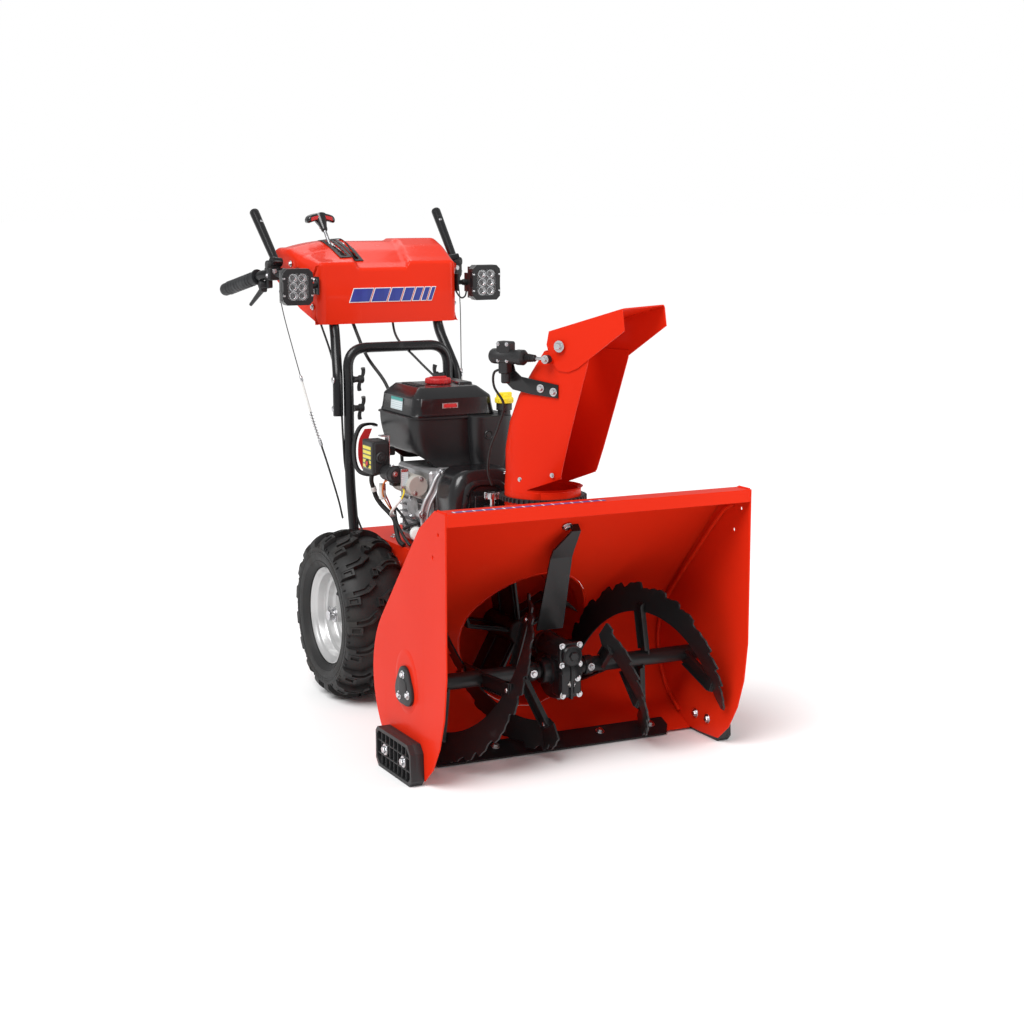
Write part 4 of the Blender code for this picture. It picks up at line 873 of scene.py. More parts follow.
# augers
auger = {"y": 0.2, "z": 0.19, "tip": 0.1718, "ribbon": 0.066, "thick": 0.0042, "tube": 0.0175,
    "inner": 0.048, "outer": 0.3485, "tooth": 17.5, "notch": 0.0125,
    "r": ((105, -105, 0.175, 0.00117), (310, 62, 0.385, 0.00117)),
    "l": ((45, -112, 0.105, 0.00117), (222, -40, 0.3, 0.00105))}


def ribbon(sign, first, last, xZero, perDegree):
    # a strip wound round the shaft: X moves with the angle, and the outer edge is cut in a saw-tooth
    degrees = np.linspace(first, last, int(abs(first - last) / 1.5))
    tooth = (degrees / auger["tooth"] + 0.22 * np.sin(degrees * 0.11)) % 1.0
    tip = auger["tip"] - auger["notch"] * np.clip(tooth * 1.15, 0, 1) ** 1.8
    tip = tip + 0.0015 * np.sin(degrees * 0.9)
    tip = np.minimum(tip, auger["tip"])
    fade = np.clip(np.minimum(degrees.max() - degrees, degrees - degrees.min()) / 8.0, 0, 1)
    root = auger["tip"] - auger["ribbon"]
    root = np.where(fade < 1, root + (1 - fade) * 0.02, root)
    x = sign * np.maximum(xZero - perDegree * degrees, 0.0525)
    a = np.radians(degrees)
    half = auger["thick"] / 2
    rings = []
    for radius, shift in ((root, -half), (root + 0.001, -half - 0.0001), (tip, -half), (tip, half),
            (root + 0.001, half + 0.0001), (root, half)):
        rings.append(np.column_stack([x + shift, auger["y"] - radius * np.cos(a), auger["z"] + radius
            * np.sin(a)]))
    return skin(np.array(rings).transpose(1, 0, 2))


def arm(sign, degrees, xZero, perDegree, slope=0.0, wide=0.0165):
    # a flat bar with a folded foot from the tube to the ribbon
    x = sign * max(xZero - perDegree * degrees, 0.0525)
    a = math.radians(degrees)
    reach = auger["tip"] - auger["ribbon"] + 0.02

    def stand(points):
        # length runs out from the axis along the arm's angle
        out = points[:, 1]
        side = points[:, 2]
        return np.column_stack([x + points[:, 0] + sign * slope * (reach - out), auger["y"] - out
            * math.cos(a) + side * math.sin(a), auger["z"] + out * math.sin(a) + side * math.cos(a)])
    shapes = [roundBox((-0.0028, 0.01, -wide), (0.0028, reach, wide), 0.001, shape=stand)]
    shapes.append(roundBox((-0.0068, reach - 0.02, -wide), (0.0028, reach - 0.002, wide), 0.001,
        shape=stand))
    for edge in (-1, 1):
        # the bar is a shallow channel: a lip stands along each long side
        shapes.append(roundBox((-0.0095, 0.018, edge * (wide - 0.0012) - 0.0012),
            (0.0, reach - 0.006, edge * (wide - 0.0012) + 0.0012), 0.0008, count=3, shape=stand))
    bolt = stand(np.array([(0.0034 * sign, reach - 0.01, 0.0)]))[0]
    return shapes, (tuple(bolt), (sign, 0, 0), 0.0052)


for sign, tag in sides:
    shapes = [pipe(np.column_stack([sign * np.linspace(auger["inner"], auger["outer"], 12),
        np.full(12, auger["y"]), np.full(12, auger["z"])]), auger["tube"], 32)]
    places = []
    for first, last, xZero, perDegree in auger[tag]:
        shapes.append(ribbon(sign, first, last, xZero, perDegree))
        for angle, slope in ((first - 14, 0.3), (last + 16, -0.1), ((first + last) / 2, 0.12)):
            made, bolt = arm(sign, angle, xZero, perDegree, slope)
            shapes += made
            places.append(bolt)
    shapes.append(turned([(0.0205, -0.01), (0.0215, -0.008), (0.0215, 0.008), (0.0205, 0.01)],
        (sign * (auger["inner"] + 0.022), auger["y"], auger["z"]), (1, 0, 0), 36))
    piece("ribbon_auger_" + tag, shapes, "workedBlack", "auger_" + tag, sharp=28)
    places.append(((sign * (auger["inner"] + 0.022), auger["y"] - 0.0215, auger["z"]), (0, -1, 0), 0.0055))
    bolts("auger_bolts_" + tag, "augers", places)
dressed("auger_shaft", "shaft", 0.0004)


# auger gearbox
gearbox = {"y": 0.2, "z": 0.19, "radius": 0.064, "half": 0.0235, "worm": 0.232}


def gearboxCase():
    y, z, r, h = (gearbox[key] for key in ("y", "z", "radius", "half"))
    centre = (0, y, z)
    shapes = [turned([(r - 0.01, -h), (r - 0.003, -h + 0.002), (r, -h + 0.007), (r, h - 0.007),
        (r - 0.003, h - 0.002), (r - 0.01, h)], centre, (1, 0, 0), 64)]
    shapes.append(turned([(r + 0.001, -0.0045), (r + 0.0035, -0.003), (r + 0.0035, 0.003),
        (r + 0.001, 0.0045)], centre, (1, 0, 0), 64))
    for sign, _ in sides:
        shapes.append(turned([(0.035, 0.018), (0.034, 0.026), (0.029, 0.03), (0.028, 0.045),
            (0.026, 0.047)], centre, (sign, 0, 0), 48))
        for k in range(6):
            a = math.radians(30 + 60 * k)
            shapes.append(roundBox((sign * 0.012 - 0.01, -0.003, 0.03),
                (sign * 0.012 + 0.01, 0.003, 0.05), 0.001, count=2, shape=lambda p,
                a=a: np.column_stack([p[:, 0], y + p[:, 2] * math.cos(a) - p[:, 1] * math.sin(a), z
                + p[:, 2] * math.sin(a) + p[:, 1] * math.cos(a)])))
    shapes.append(turned([(0.021, -0.068), (0.0235, -0.065), (0.0235, -0.05), (0.027, -0.046),
        (0.028, 0.05), (0.031, 0.054), (0.031, 0.06), (0.028, 0.062)], (0, 0.2, gearbox["worm"]),
        (0, 1, 0), 48))
    shapes.append(turned([(0.019, 0), (0.019, 0.003), (0.017, 0.004)], (0, 0.134, gearbox["worm"]),
        (0, -1, 0), 32))
    shapes.append(roundBox((-0.0275, 0.142, 0.2045), (0.0275, 0.153, 0.2595), 0.0085))
    shapes.append(roundBox((-0.026, 0.14, 0.138), (0.026, 0.185, 0.2), 0.0085))
    shapes.append(roundBox((-0.024, 0.1375, 0.146), (-0.005, 0.15, 0.192), 0.004))
    shapes.append(roundBox((0.005, 0.1375, 0.146), (0.024, 0.15, 0.192), 0.004))
    shapes.append(roundBox((-0.0032, 0.135, 0.136), (0.0032, 0.16, 0.203), 0.002))
    piece("gearbox_case", shapes, "powderBlack", "auger_gearbox", sharp=34)
    places = []
    for k in range(6):
        a = math.radians(20 + 60 * k)
        for sign in (-1, 1):
            places.append(((sign * 0.0045, y + (r - 0.002) * math.cos(a), z + (r - 0.002) * math.sin(a)),
                (sign, 0, 0), 0.0052))
    for x, h2, front in ((-0.021, 0.211, 0.1422), (0.021, 0.211, 0.1422), (-0.021, 0.253, 0.1422),
            (0.021, 0.253, 0.1422), (-0.02, 0.145, 0.1402), (0.02, 0.145, 0.1402),
            (0.0145, 0.181, 0.1378)):
        places.append(((x, front, h2), (0, -1, 0), 0.0046))
    bolts("gearbox_bolts", "machine", places)
    bolts("gearbox_plug", "machine", [((0, 0.1305, gearbox["worm"]), (0, -1, 0), 0.0105)], "powderBlack",
        False)


gearboxCase()
# raised seams where the back sheet meets the side plates and the bolts low
# on the left plate
seam = smoothPath([(0.06, 0.546), (0.105, 0.52), (0.21, 0.416), (0.3, 0.322), (0.352, 0.255),
    (0.366, 0.17), (0.332, 0.088), (0.27, 0.036)], 10)
for sign, tag in sides:
    way = np.column_stack([np.full(len(seam), sign * 0.3505), seam[:, 0], seam[:, 1]])
    piece("seam_" + tag, [pipe(way, 0.0042, 12)], "redSheet", slot="paint_red")
bolts("plate_bolts", "machine", [((sign * 0.3545, y, z), (-sign, 0, 0), 0.0072) for sign, _ in sides
    for y, z in ((0.2054, 0.0445), (0.1547, 0.044))])
dressed("impeller_fan", "workedBlack", 0.0008)
dressed("impeller_shaft", "shaft", 0.0004)
hub = turned([(0.027, 0.376), (0.03, 0.379), (0.03, 0.516), (0.027, 0.518)], (0, 0, gearbox["worm"]),
    (0, 1, 0), 40)
ribs = []
for k in range(5):
    a = math.radians(25 + 72 * k)
    ribs.append(roundBox((0.028, 0.392, -0.005), (0.122, 0.399, 0.005), 0.001, count=3, shape=lambda p,
        a=a: np.column_stack([p[:, 0] * math.cos(a) - p[:, 2] * math.sin(a), p[:, 1], gearbox["worm"]
        + p[:, 0] * math.sin(a) + p[:, 2] * math.cos(a)])))
    ribs.append(roundBox((0.028, 0.47, -0.005), (0.122, 0.477, 0.005), 0.001, count=3, shape=lambda p,
        a=a: np.column_stack([p[:, 0] * math.cos(a) - p[:, 2] * math.sin(a), p[:, 1], gearbox["worm"]
        + p[:, 0] * math.sin(a) + p[:, 2] * math.cos(a)])))
piece("impeller_hub", [hub] + ribs, "workedBlack", body="impeller")
print("head, augers and gearbox made")


# chute, deflector and their actuator, laid out in the chute's own axes: it throws towards -Y
chute = {"x": 0.085, "y": 0.44, "heading": 28.0, "wall": 0.0833, "pivot": (0.106, 0.878), "plane": 0.0873}


def turret(points):
    a = math.radians(chute["heading"])
    points = np.asarray(points, float).reshape(-1, 3)
    x = chute["x"] + points[:, 0] * math.cos(a) - points[:, 1] * math.sin(a)
    y = chute["y"] + points[:, 0] * math.sin(a) + points[:, 1] * math.cos(a)
    return np.column_stack([x, y, points[:, 2]])


def onTurret(shapes):
    return [(turret(points), faces) for points, faces in shapes]


def chuteBolts(name, body, places, finish="zinc"):
    shapes = []
    for at, direction, size in places:
        shapes += hexHead(at, direction, size)
    return piece(name, onTurret(shapes), finish, body=body, sharp=25)


dressed("chute", "redSheet", 0.0007, sharp=24)
dressed("deflector", "redSheet", 0.0009)
dressed("chute_gear", "plasticBlack", 0.0004)
dressed("chute_pinion", "shaft", 0.0003)
dressed("actuator_rod", "shaft", 0.0003)

side = -chute["wall"]
chuteBolts("chute_bolts", "chute_turret", [((-chute["plane"] - 0.0005, -0.054, 0.795 - 0.012), (-1, 0, 0),
    0.0062), ((-chute["plane"] - 0.0005, -0.088, 0.777), (-1, 0, 0), 0.0062),
    ((side + 0.0002, -0.082, 0.592), (-1, 0, 0), 0.0035),
    ((-side - 0.0002, -0.082, 0.592), (1, 0, 0), 0.0035),
    ((side + 0.0002, 0.005, 0.575), (-1, 0, 0), 0.0035),
    ((-side - 0.0002, 0.005, 0.575), (1, 0, 0), 0.0035)])
f, z = chute["pivot"]
chuteBolts("pivot_bolts", "hood", [((-0.0925, -f, z), (-1, 0, 0), 0.0085),
    ((0.0925, -f, z), (1, 0, 0), 0.0085)])
# seams: folded lip along the deflector's front edge and a pressed rib over the chute's foot
lip = smoothPath([(-0.0858, -0.268, 0.918), (-0.0858, -0.262, 0.964)], 3)
lip = np.concatenate([lip, [(0.0858, -0.262, 0.964), (0.0858, -0.268, 0.918)]])
piece("deflector_lip", onTurret([pipe(roundedCorners(lip[[0, 3, 4, 5]] if len(lip) > 5 else lip, 0.008),
    0.0016, 8)]), "redSheet", body="hood", slot="paint_red")
angle = np.linspace(0, 2 * math.pi, 96, endpoint=False)
band = np.column_stack([0.0845 * np.cos(angle), 0.0845 * np.sin(angle), np.full(96, 0.546)])
foot = np.column_stack([0.086 * np.cos(angle), 0.086 * np.sin(angle), np.full(96, 0.512)])
piece("chute_foot_beads", onTurret([carried(ringOf(0.0024, 10), band, loop=True),
    carried(ringOf(0.0022, 10), foot, loop=True)]), "redSheet", body="chute_turret", slot="paint_red")


def actuator():
    # hook plate from the CAD, plus the motor's can, gear case halves, clamp screws, boot and lead
    plate = -chute["plane"]
    hook = [(-0.099, 0.764), (-0.099, 0.793), (-0.045, 0.8), (0.0, 0.806), (0.016, 0.818), (0.021, 0.834),
            (0.022, 0.862), (0.052, 0.862), (0.052, 0.816), (0.043, 0.792), (0.022, 0.776), (-0.03, 0.768)]
    outline = resampled(hook, 0.006)
    shapes = [slab(outline, plate + 0.0003, plate + 0.004, 0.0008, plane("x"))]
    piece("actuator_hook", onTurret(shapes), "powderBlack", "actuator_bracket", sharp=35)
    x = plate - 0.0145
    body = [turned([(0.0135, -0.078), (0.0165, -0.074), (0.0172, -0.068), (0.0172, -0.05),
        (0.0158, -0.047), (0.0158, -0.01), (0.0172, -0.006), (0.0172, 0.008), (0.014, 0.012),
        (0.01, 0.014)], (x, -0.01, 0.85), (0, -1, 0), 40),
        roundBox((x - 0.0135, 0.012, 0.836), (x + 0.0135, 0.048, 0.884), 0.005),
        roundBox((x - 0.011, 0.02, 0.812), (x + 0.011, 0.044, 0.842), 0.004),
        turned([(0.0105, 0), (0.0105, 0.018), (0.0085, 0.021)], (x, 0.03, 0.812), (0, 0, -1), 28)]
    for k in range(5):
        body.append(turned([(0.0066, -0.0022), (0.01 - 0.0005 * k, 0.0), (0.0066, 0.0022)],
            (x, -0.027 - 0.0052 * k, 0.85), (0, -1, 0), 24))
    piece("actuator_motor", onTurret(body), "plasticBlack", body="chute_turret", slot="plastic_black")
    chuteBolts("actuator_screws", "chute_turret", [((x - 0.0135, 0.018, 0.878), (-1, 0, 0), 0.003),
        ((x - 0.0135, 0.042, 0.878), (-1, 0, 0), 0.003), ((x - 0.0135, 0.018, 0.842), (-1, 0, 0), 0.003),
        ((x - 0.0135, 0.042, 0.842), (-1, 0, 0), 0.003)])
    lead = smoothPath([(x, 0.04, 0.822), (x, 0.062, 0.812), (x + 0.006, 0.066, 0.78),
        (x + 0.02, 0.05, 0.74), (x + 0.022, 0.066, 0.69), (x + 0.01, 0.08, 0.64),
        (x + 0.012, 0.088, 0.59), (x + 0.024, 0.086, 0.555)])
    piece("actuator_lead", onTurret([pipe(lead, 0.0028, 12)]), "hose", body="chute_turret", slot="rubber")
    pin = [turned([(0.009, -0.007), (0.0095, -0.005), (0.0095, 0.005), (0.009, 0.007)],
        (x - 0.0005, -0.08, 0.8495), (1, 0, 0), 28)]
    piece("rod_boot", onTurret(pin), "plasticBlack", body="actuator_slider", slot="plastic_black")
    chuteBolts("rod_bolt", "actuator_slider", [((x - 0.007, -0.08, 0.8495), (-1, 0, 0), 0.0062)])


actuator()
print("chute made")


# engine
engine = {"front": 0.7, "rear": 0.925, "left": -0.125, "right": 0.113, "low": 0.565, "rim": 0.687,
    "lid": 0.754, "cap": (-0.01, 0.805, 0.7545), "dip": (0.11, 0.69), "starter": (-0.123, 0.724, 0.532)}


def roundedLoop(left, right, front, rear, radius, steps=7, flats=7):
    # a rectangle with quarter-circle corners, the same number of points at every size
    corners = ((right - radius, front + radius, -90), (right - radius, rear - radius, 0),
        (left + radius, rear - radius, 90), (left + radius, front + radius, 180))
    out = []
    for k, (x, y, first) in enumerate(corners):
        angle = np.radians(np.linspace(first, first + 90, steps))
        out.append(np.stack([x + radius * np.cos(angle), y + radius * np.sin(angle)], axis=1))
        x2, y2, turn = corners[(k + 1) % 4]
        start = out[-1][-1]
        end = np.array((x2 + radius * math.cos(math.radians(turn)), y2 + radius
            * math.sin(math.radians(turn))))
        out.append(start + (end - start) * np.linspace(0, 1, flats + 2)[1:-1, None])
    return np.concatenate(out)


def stacked(levels, shape=None):
    # levels: (z, left, right, front, rear, corner radius)
    rings = []
    for z, left, right, front, rear, radius in levels:
        loop = roundedLoop(left, right, front, rear, radius)
        rings.append(np.column_stack([loop, np.full(len(loop), z)]))
    rings = np.array(rings)
    if shape is not None:
        rings = shape(rings)
    return skin(rings)


def tankShape(rings):
    # the foot of the left front corner is cut away in a long slope, and the right half of the front
    # stands proud
    x, y, z = rings[..., 0], rings[..., 1], rings[..., 2]
    low, high = engine["low"], engine["rim"]
    down = np.clip((high - z) / (high - low), 0, 1)
    cut = np.clip((-0.055 - x) / 0.07, 0, 1) * 0.052
    rings[..., 2] = z + down * cut
    bulge = np.clip((x - 0.02) / 0.02, 0, 1) * np.clip((0.1 - x) / 0.012, 0, 1)
    front = np.clip((0.73 - y) / 0.02, 0, 1)
    rings[..., 1] = y - 0.0035 * bulge * front * np.sin(math.pi * np.clip(down, 0.02, 0.95)) ** 0.5
    return rings


def engineCovers():
    l, r, f, b = (engine[key] for key in ("left", "right", "front", "rear"))
    rows = []
    for t in np.linspace(0, 1, 16):
        z = engine["low"] + (engine["rim"] - 0.008 - engine["low"]) * t
        inset = 0.016 * (1 - t) ** 2.2 + 0.003
        rows.append((z, l + inset, r - inset * 0.7, f + inset * 0.7, b - inset * 0.4, 0.03))
    first = rows[0]
    rows.insert(0, (first[0] - 0.0005, first[1] + 0.006, first[2] - 0.006, first[3] + 0.006, first[4]
        - 0.006, 0.024))
    rim = engine["rim"]
    rows += [(rim - 0.0065, l, r, f, b, 0.03),
        (rim - 0.0055, l - 0.0012, r + 0.0008, f - 0.0012, b + 0.001, 0.031),
        (rim - 0.0015, l - 0.0012, r + 0.0008, f - 0.0012, b + 0.001, 0.031), (rim, l, r, f, b, 0.03)]
    body = stacked(rows, tankShape)
    piece("tank_body", [body], "tankBlack", "tank_shroud", sharp=38)
    wing = []
    for t in np.linspace(0, 1, 14):
        pull = 0.014 * (1 - t) ** 2.4
        wing.append((0.563 + (rim - 0.566) * t, 0.02 + pull, 0.1285 - pull * 0.3, 0.6705 + pull * 0.5,
            0.79, 0.024))
    wing.insert(0, (0.5625, 0.04, 0.118, 0.684, 0.78, 0.016))
    wing.append((rim - 0.0008, 0.0225, 0.126, 0.673, 0.788, 0.022))
    piece("tank_wing", [stacked(wing)], "tankBlack", slot="plastic_black", sharp=38)
    x, z = 0.06, 0.642
    f = 0.6705
    hole = turned([(0.0105, -0.001), (0.0112, 0.0), (0.01, 0.0012), (0.0082, 0.0), (0.0078, -0.0012)],
        (x, f - 0.0005, z), (0, -1, 0), 36)
    plug = turned([(0.0072, -0.001), (0.0068, 0.0004), (0.003, 0.0006)], (x, f - 0.0008, z), (0, -1, 0), 30)
    piece("tank_eye", [hole], "tankBlack")
    piece("tank_eye_floor", [plug], "hose")
    f = engine["front"]

    # lid: upright wall, broad chamfer, a flat top with a pad for the cap and a hump behind it
    lid = [(rim + 0.0004, l + 0.006, r - 0.018, f - 0.001, b - 0.01, 0.022),
           (rim + 0.004, l + 0.005, r - 0.017, f - 0.002, b - 0.009, 0.023),
           (rim + 0.01, l + 0.007, r - 0.02, f, b - 0.012, 0.022),
           (0.715, l + 0.0095, r - 0.024, f + 0.001, b - 0.014, 0.021),
           (0.729, l + 0.011, r - 0.026, f + 0.002, b - 0.016, 0.02),
           (0.7335, l + 0.014, r - 0.029, f + 0.005, b - 0.019, 0.018),
           (0.75, l + 0.031, r - 0.048, f + 0.027, b - 0.036, 0.013),
           (0.753, l + 0.035, r - 0.052, f + 0.032, b - 0.04, 0.01),
           (0.7538, l + 0.05, r - 0.067, f + 0.048, b - 0.056, 0.006)]

    def crease(rings):
        # two shallow upright folds near the left corner of the front
        x, y, z = rings[..., 0], rings[..., 1], rings[..., 2]
        wall = np.clip((z - rim - 0.008) / 0.006, 0, 1) * np.clip((0.738 - z) / 0.006, 0, 1)
        groove = np.exp(-((x + 0.094) / 0.0035) ** 2) * np.clip((0.72 - y) / 0.01, 0, 1)
        rings[..., 1] = y + 0.003 * groove * wall
        return rings
    shapes = [stacked(lid, crease)]
    x, y, z = engine["cap"]
    shapes.append(turned([(0.046, -0.0035), (0.044, 0.0005), (0.036, 0.0012), (0.034, 0.0)],
        (x, y, 0.7535), (0, 0, 1), 48))
    shapes.append(roundBox((0.028, 0.77, 0.748), (0.066, 0.88, 0.7588), 0.005))
    for k in range(6):
        shapes.append(roundBox((-0.085 + 0.003, 0.772 + 0.016 * k, 0.752),
            (-0.058, 0.779 + 0.016 * k, 0.7562), 0.0015, count=2))
    piece("engine_lid", shapes, "coverBlack", "engine_cover", sharp=26)

    side = l + 0.0072
    lean = 0.0026 / 0.03

    def onSide(points):
        # stands on the lid's left wall, which leans in a little
        return np.column_stack([side + points[:, 0] + (points[:, 2] - 0.7) * lean, points[:, 1],
            points[:, 2]])
    piece("side_label", [roundBox((-0.0012, 0.772, 0.698), (0.0002, 0.84, 0.7265), 0.0003, count=3,
        shape=onSide)], "greyLabel")
    piece("side_label_head", [roundBox((-0.0014, 0.772, 0.7195), (-0.0004, 0.84, 0.7268), 0.0003, count=3,
        shape=onSide)], "tealLabel")
    piece("front_plate", [roundBox((-0.046, f - 0.0006, 0.706), (-0.006, f + 0.002, 0.719), 0.0009,
        count=3)], "zinc")
    piece("front_plate_middle", [roundBox((-0.042, f - 0.001, 0.7085), (-0.01, f + 0.001, 0.7165), 0.0005,
        count=3)], "capRed")


def fillerCaps():
    x, y, z = engine["cap"]
    angle = np.linspace(0, 2 * math.pi, 192, endpoint=False)
    ridge = np.where(np.sin(angle * 24) > 0, 1.0, 0.965)
    rings = []
    for radius, height, ribbed in ((0.0235, 0.0005, 0), (0.03, 0.0008, 1), (0.0312, 0.003, 1),
            (0.0312, 0.01, 1), (0.03, 0.0125, 1), (0.027, 0.0136, 0), (0.02, 0.0136, 0),
            (0.0185, 0.0115, 0), (0.01, 0.0112, 0)):
        size = radius * (ridge if ribbed else np.ones(192))
        rings.append(np.stack([x + size * np.cos(angle), y + size * np.sin(angle),
            np.full(192, z + height)], axis=1))
    shapes = [skin(np.array(rings)), turned([(0.0205, -0.01), (0.0205, 0.002), (0.018, 0.003)], (x, y, z),
        (0, 0, 1))]
    shapes.append(roundBox((x - 0.022, y - 0.003, z + 0.011), (x + 0.022, y + 0.003, z + 0.0172), 0.0018,
        count=3))
    piece("fuel_cap_ridged", shapes, "capRed", "fuel_cap", sharp=24)
    x, y = engine["dip"]
    low = 0.7132
    ridge = np.where(np.sin(angle * 20) > 0, 1.0, 0.955)
    rings = []
    for radius, height, ribbed in ((0.015, 0.0, 0), (0.0212, 0.0004, 1), (0.0224, 0.002, 1),
            (0.0224, 0.011, 1), (0.0212, 0.013, 0), (0.012, 0.0138, 0)):
        size = radius * (ridge if ribbed else np.ones(192))
        rings.append(np.stack([x + size * np.cos(angle), y + size * np.sin(angle),
            np.full(192, low + height)], axis=1))
    shapes = [skin(np.array(rings)), roundBox((x - 0.0195, y - 0.0045, low + 0.01),
        (x + 0.0195, y + 0.0045, low + 0.0255), 0.003),
        roundBox((x - 0.006, y - 0.012, low + 0.01), (x + 0.006, y + 0.012, low + 0.0215), 0.0025),
        turned([(0.008, -0.016), (0.008, 0.001), (0.007, 0.002)], (x, y, low), (0, 0, 1), 24),
        pipe([(x, y, low - 0.1), (x, y, low - 0.06), (x, y, low - 0.01)], 0.0019, 10)]
    piece("dipstick_top", shapes, "capYellow", "dipstick_cap", sharp=24)


def crankcase():
    # the cast block with cooling fins, bosses, the oil tube, a side cover and the polished flange
    # of the front
    dressed("engine_block", "cast", 0.0016)
    x, y = engine["dip"]
    piece("oil_tube_sleeve", [turned([(0.015, 0.0), (0.0158, 0.002), (0.0158, 0.03), (0.0152, 0.032),
        (0.0152, 0.218), (0.0188, 0.219), (0.0188, 0.2335), (0.016, 0.2345)], (x, y, 0.478), (0, 0, 1),
        36)], "plasticBlack", slot="plastic_black")
    shapes = []
    for k in range(9):
        z = 0.398 + 0.0165 * k
        shapes.append(roundBox((-0.101, 0.7, z), (-0.082, 0.834, z + 0.0035), 0.0012, count=3))
    for k in range(7):
        z = 0.392 + 0.016 * k
        shapes.append(roundBox((-0.08 + 0.002 * k, 0.6545, z), (-0.05, 0.676, z + 0.003), 0.001, count=3))
    flange = smoothPath([(-0.062, 0.662, 0.566), (-0.08, 0.66, 0.551), (-0.096, 0.659, 0.52),
        (-0.111, 0.659, 0.494), (-0.119, 0.66, 0.462), (-0.112, 0.661, 0.425)], 8)
    shapes.append(pipe(flange, 0.0052, 14))
    second = flange + (0.013, -0.004, -0.004)
    shapes.append(pipe(second, 0.0034, 12))
    web = []
    for near, far in zip(flange[::4], second[::4]):
        web.append(np.array([near + (0, 0.003, 0), near + (0, -0.001, 0), far + (0, -0.001, 0), far
            + (0, 0.003, 0)]))
    shapes.append(skin(np.array(web)))
    for at, radius in (((-0.066, 0.664, 0.562), 0.0105), ((-0.118, 0.664, 0.466), 0.0105),
            ((-0.108, 0.664, 0.402), 0.0105)):
        shapes.append(turned([(radius, -0.008), (radius, 0.006), (radius * 0.9, 0.0075)], at, (0, -1, 0),
            32))
    shapes.append(turned([(0.03, -0.02), (0.03, 0.004), (0.026, 0.008), (0.012, 0.009)],
        (-0.098, 0.75, 0.47), (-1, 0, 0), 40))
    piece("crankcase_casting", shapes, "cast", sharp=35)
    bolts("crankcase_bolts", "machine", [((-0.066, 0.6565, 0.562), (0, -1, 0), 0.006),
        ((-0.118, 0.6565, 0.466), (0, -1, 0), 0.006), ((-0.108, 0.6565, 0.402), (0, -1, 0), 0.006),
        ((-0.107, 0.75, 0.492), (-1, 0, 0), 0.0045), ((-0.107, 0.75, 0.448), (-1, 0, 0), 0.0045),
        ((-0.085, 0.69, 0.4), (-1, 0, 0), 0.007)])


def starter():
    x, y, z = engine["starter"]
    shapes = [turned([(0.02, -0.055), (0.0245, -0.05), (0.0248, 0.03), (0.0232, 0.034), (0.0232, 0.04),
        (0.0252, 0.042), (0.0252, 0.05), (0.0235, 0.0535)], (x, y, z), (0, -1, 0), 48)]
    shapes.append(roundBox((x + 0.01, y - 0.04, z - 0.034), (x + 0.03, y + 0.03, z + 0.012), 0.004))
    piece("starter_can", shapes, "discGrey", "starter_motor")
    front = y - 0.053
    piece("starter_front", [turned([(0.0242, 0.0), (0.0242, 0.0018), (0.023, 0.003), (0.01, 0.0032)],
        (x, front, z), (0, -1, 0), 56)], "discGrey")
    bolts("starter_screws", "machine", [((x + 0.008, front - 0.0028, z + 0.0165), (0, -1, 0), 0.0036),
        ((x - 0.008, front - 0.0028, z - 0.0165), (0, -1, 0), 0.0036)])
    # relay beside it: a dark drum in a clamp, with a printed plate on its front and a terminal on top
    rx, ry, rz = -0.164, 0.728, 0.556
    relay = [turned([(0.015, -0.036), (0.019, -0.032), (0.019, 0.028), (0.0165, 0.033), (0.008, 0.034)],
        (rx, ry, rz), (0, -1, 0), 40)]
    relay.append(turned([(0.02, -0.005), (0.0206, -0.004), (0.0206, 0.004), (0.02, 0.005)],
        (rx, ry - 0.012, rz), (0, -1, 0), 40))
    relay.append(roundBox((rx - 0.004, ry - 0.014, rz - 0.028), (rx + 0.026, ry + 0.01, rz - 0.014), 0.003))
    piece("starter_relay", relay, "plasticBlack", slot="plastic_black")
    piece("relay_strap", [roundBox((rx + 0.006, ry - 0.0395, rz - 0.03),
        (rx + 0.0255, ry - 0.036, rz + 0.016), 0.0012),
        roundBox((rx + 0.006, ry - 0.039, rz + 0.012), (rx + 0.0255, ry + 0.02, rz + 0.0155), 0.0012)],
        "zinc")
    piece("relay_plate", [roundBox((rx + 0.0078, ry - 0.0404, rz - 0.024),
        (rx + 0.0238, ry - 0.039, rz + 0.008), 0.0004)], "greyLabel")
    bolts("relay_nuts", "machine", [((rx - 0.006, ry - 0.034, rz + 0.004), (0, -1, 0), 0.004),
        ((rx - 0.004, ry - 0.01, rz + 0.02), (0, 0, 1), 0.004)])


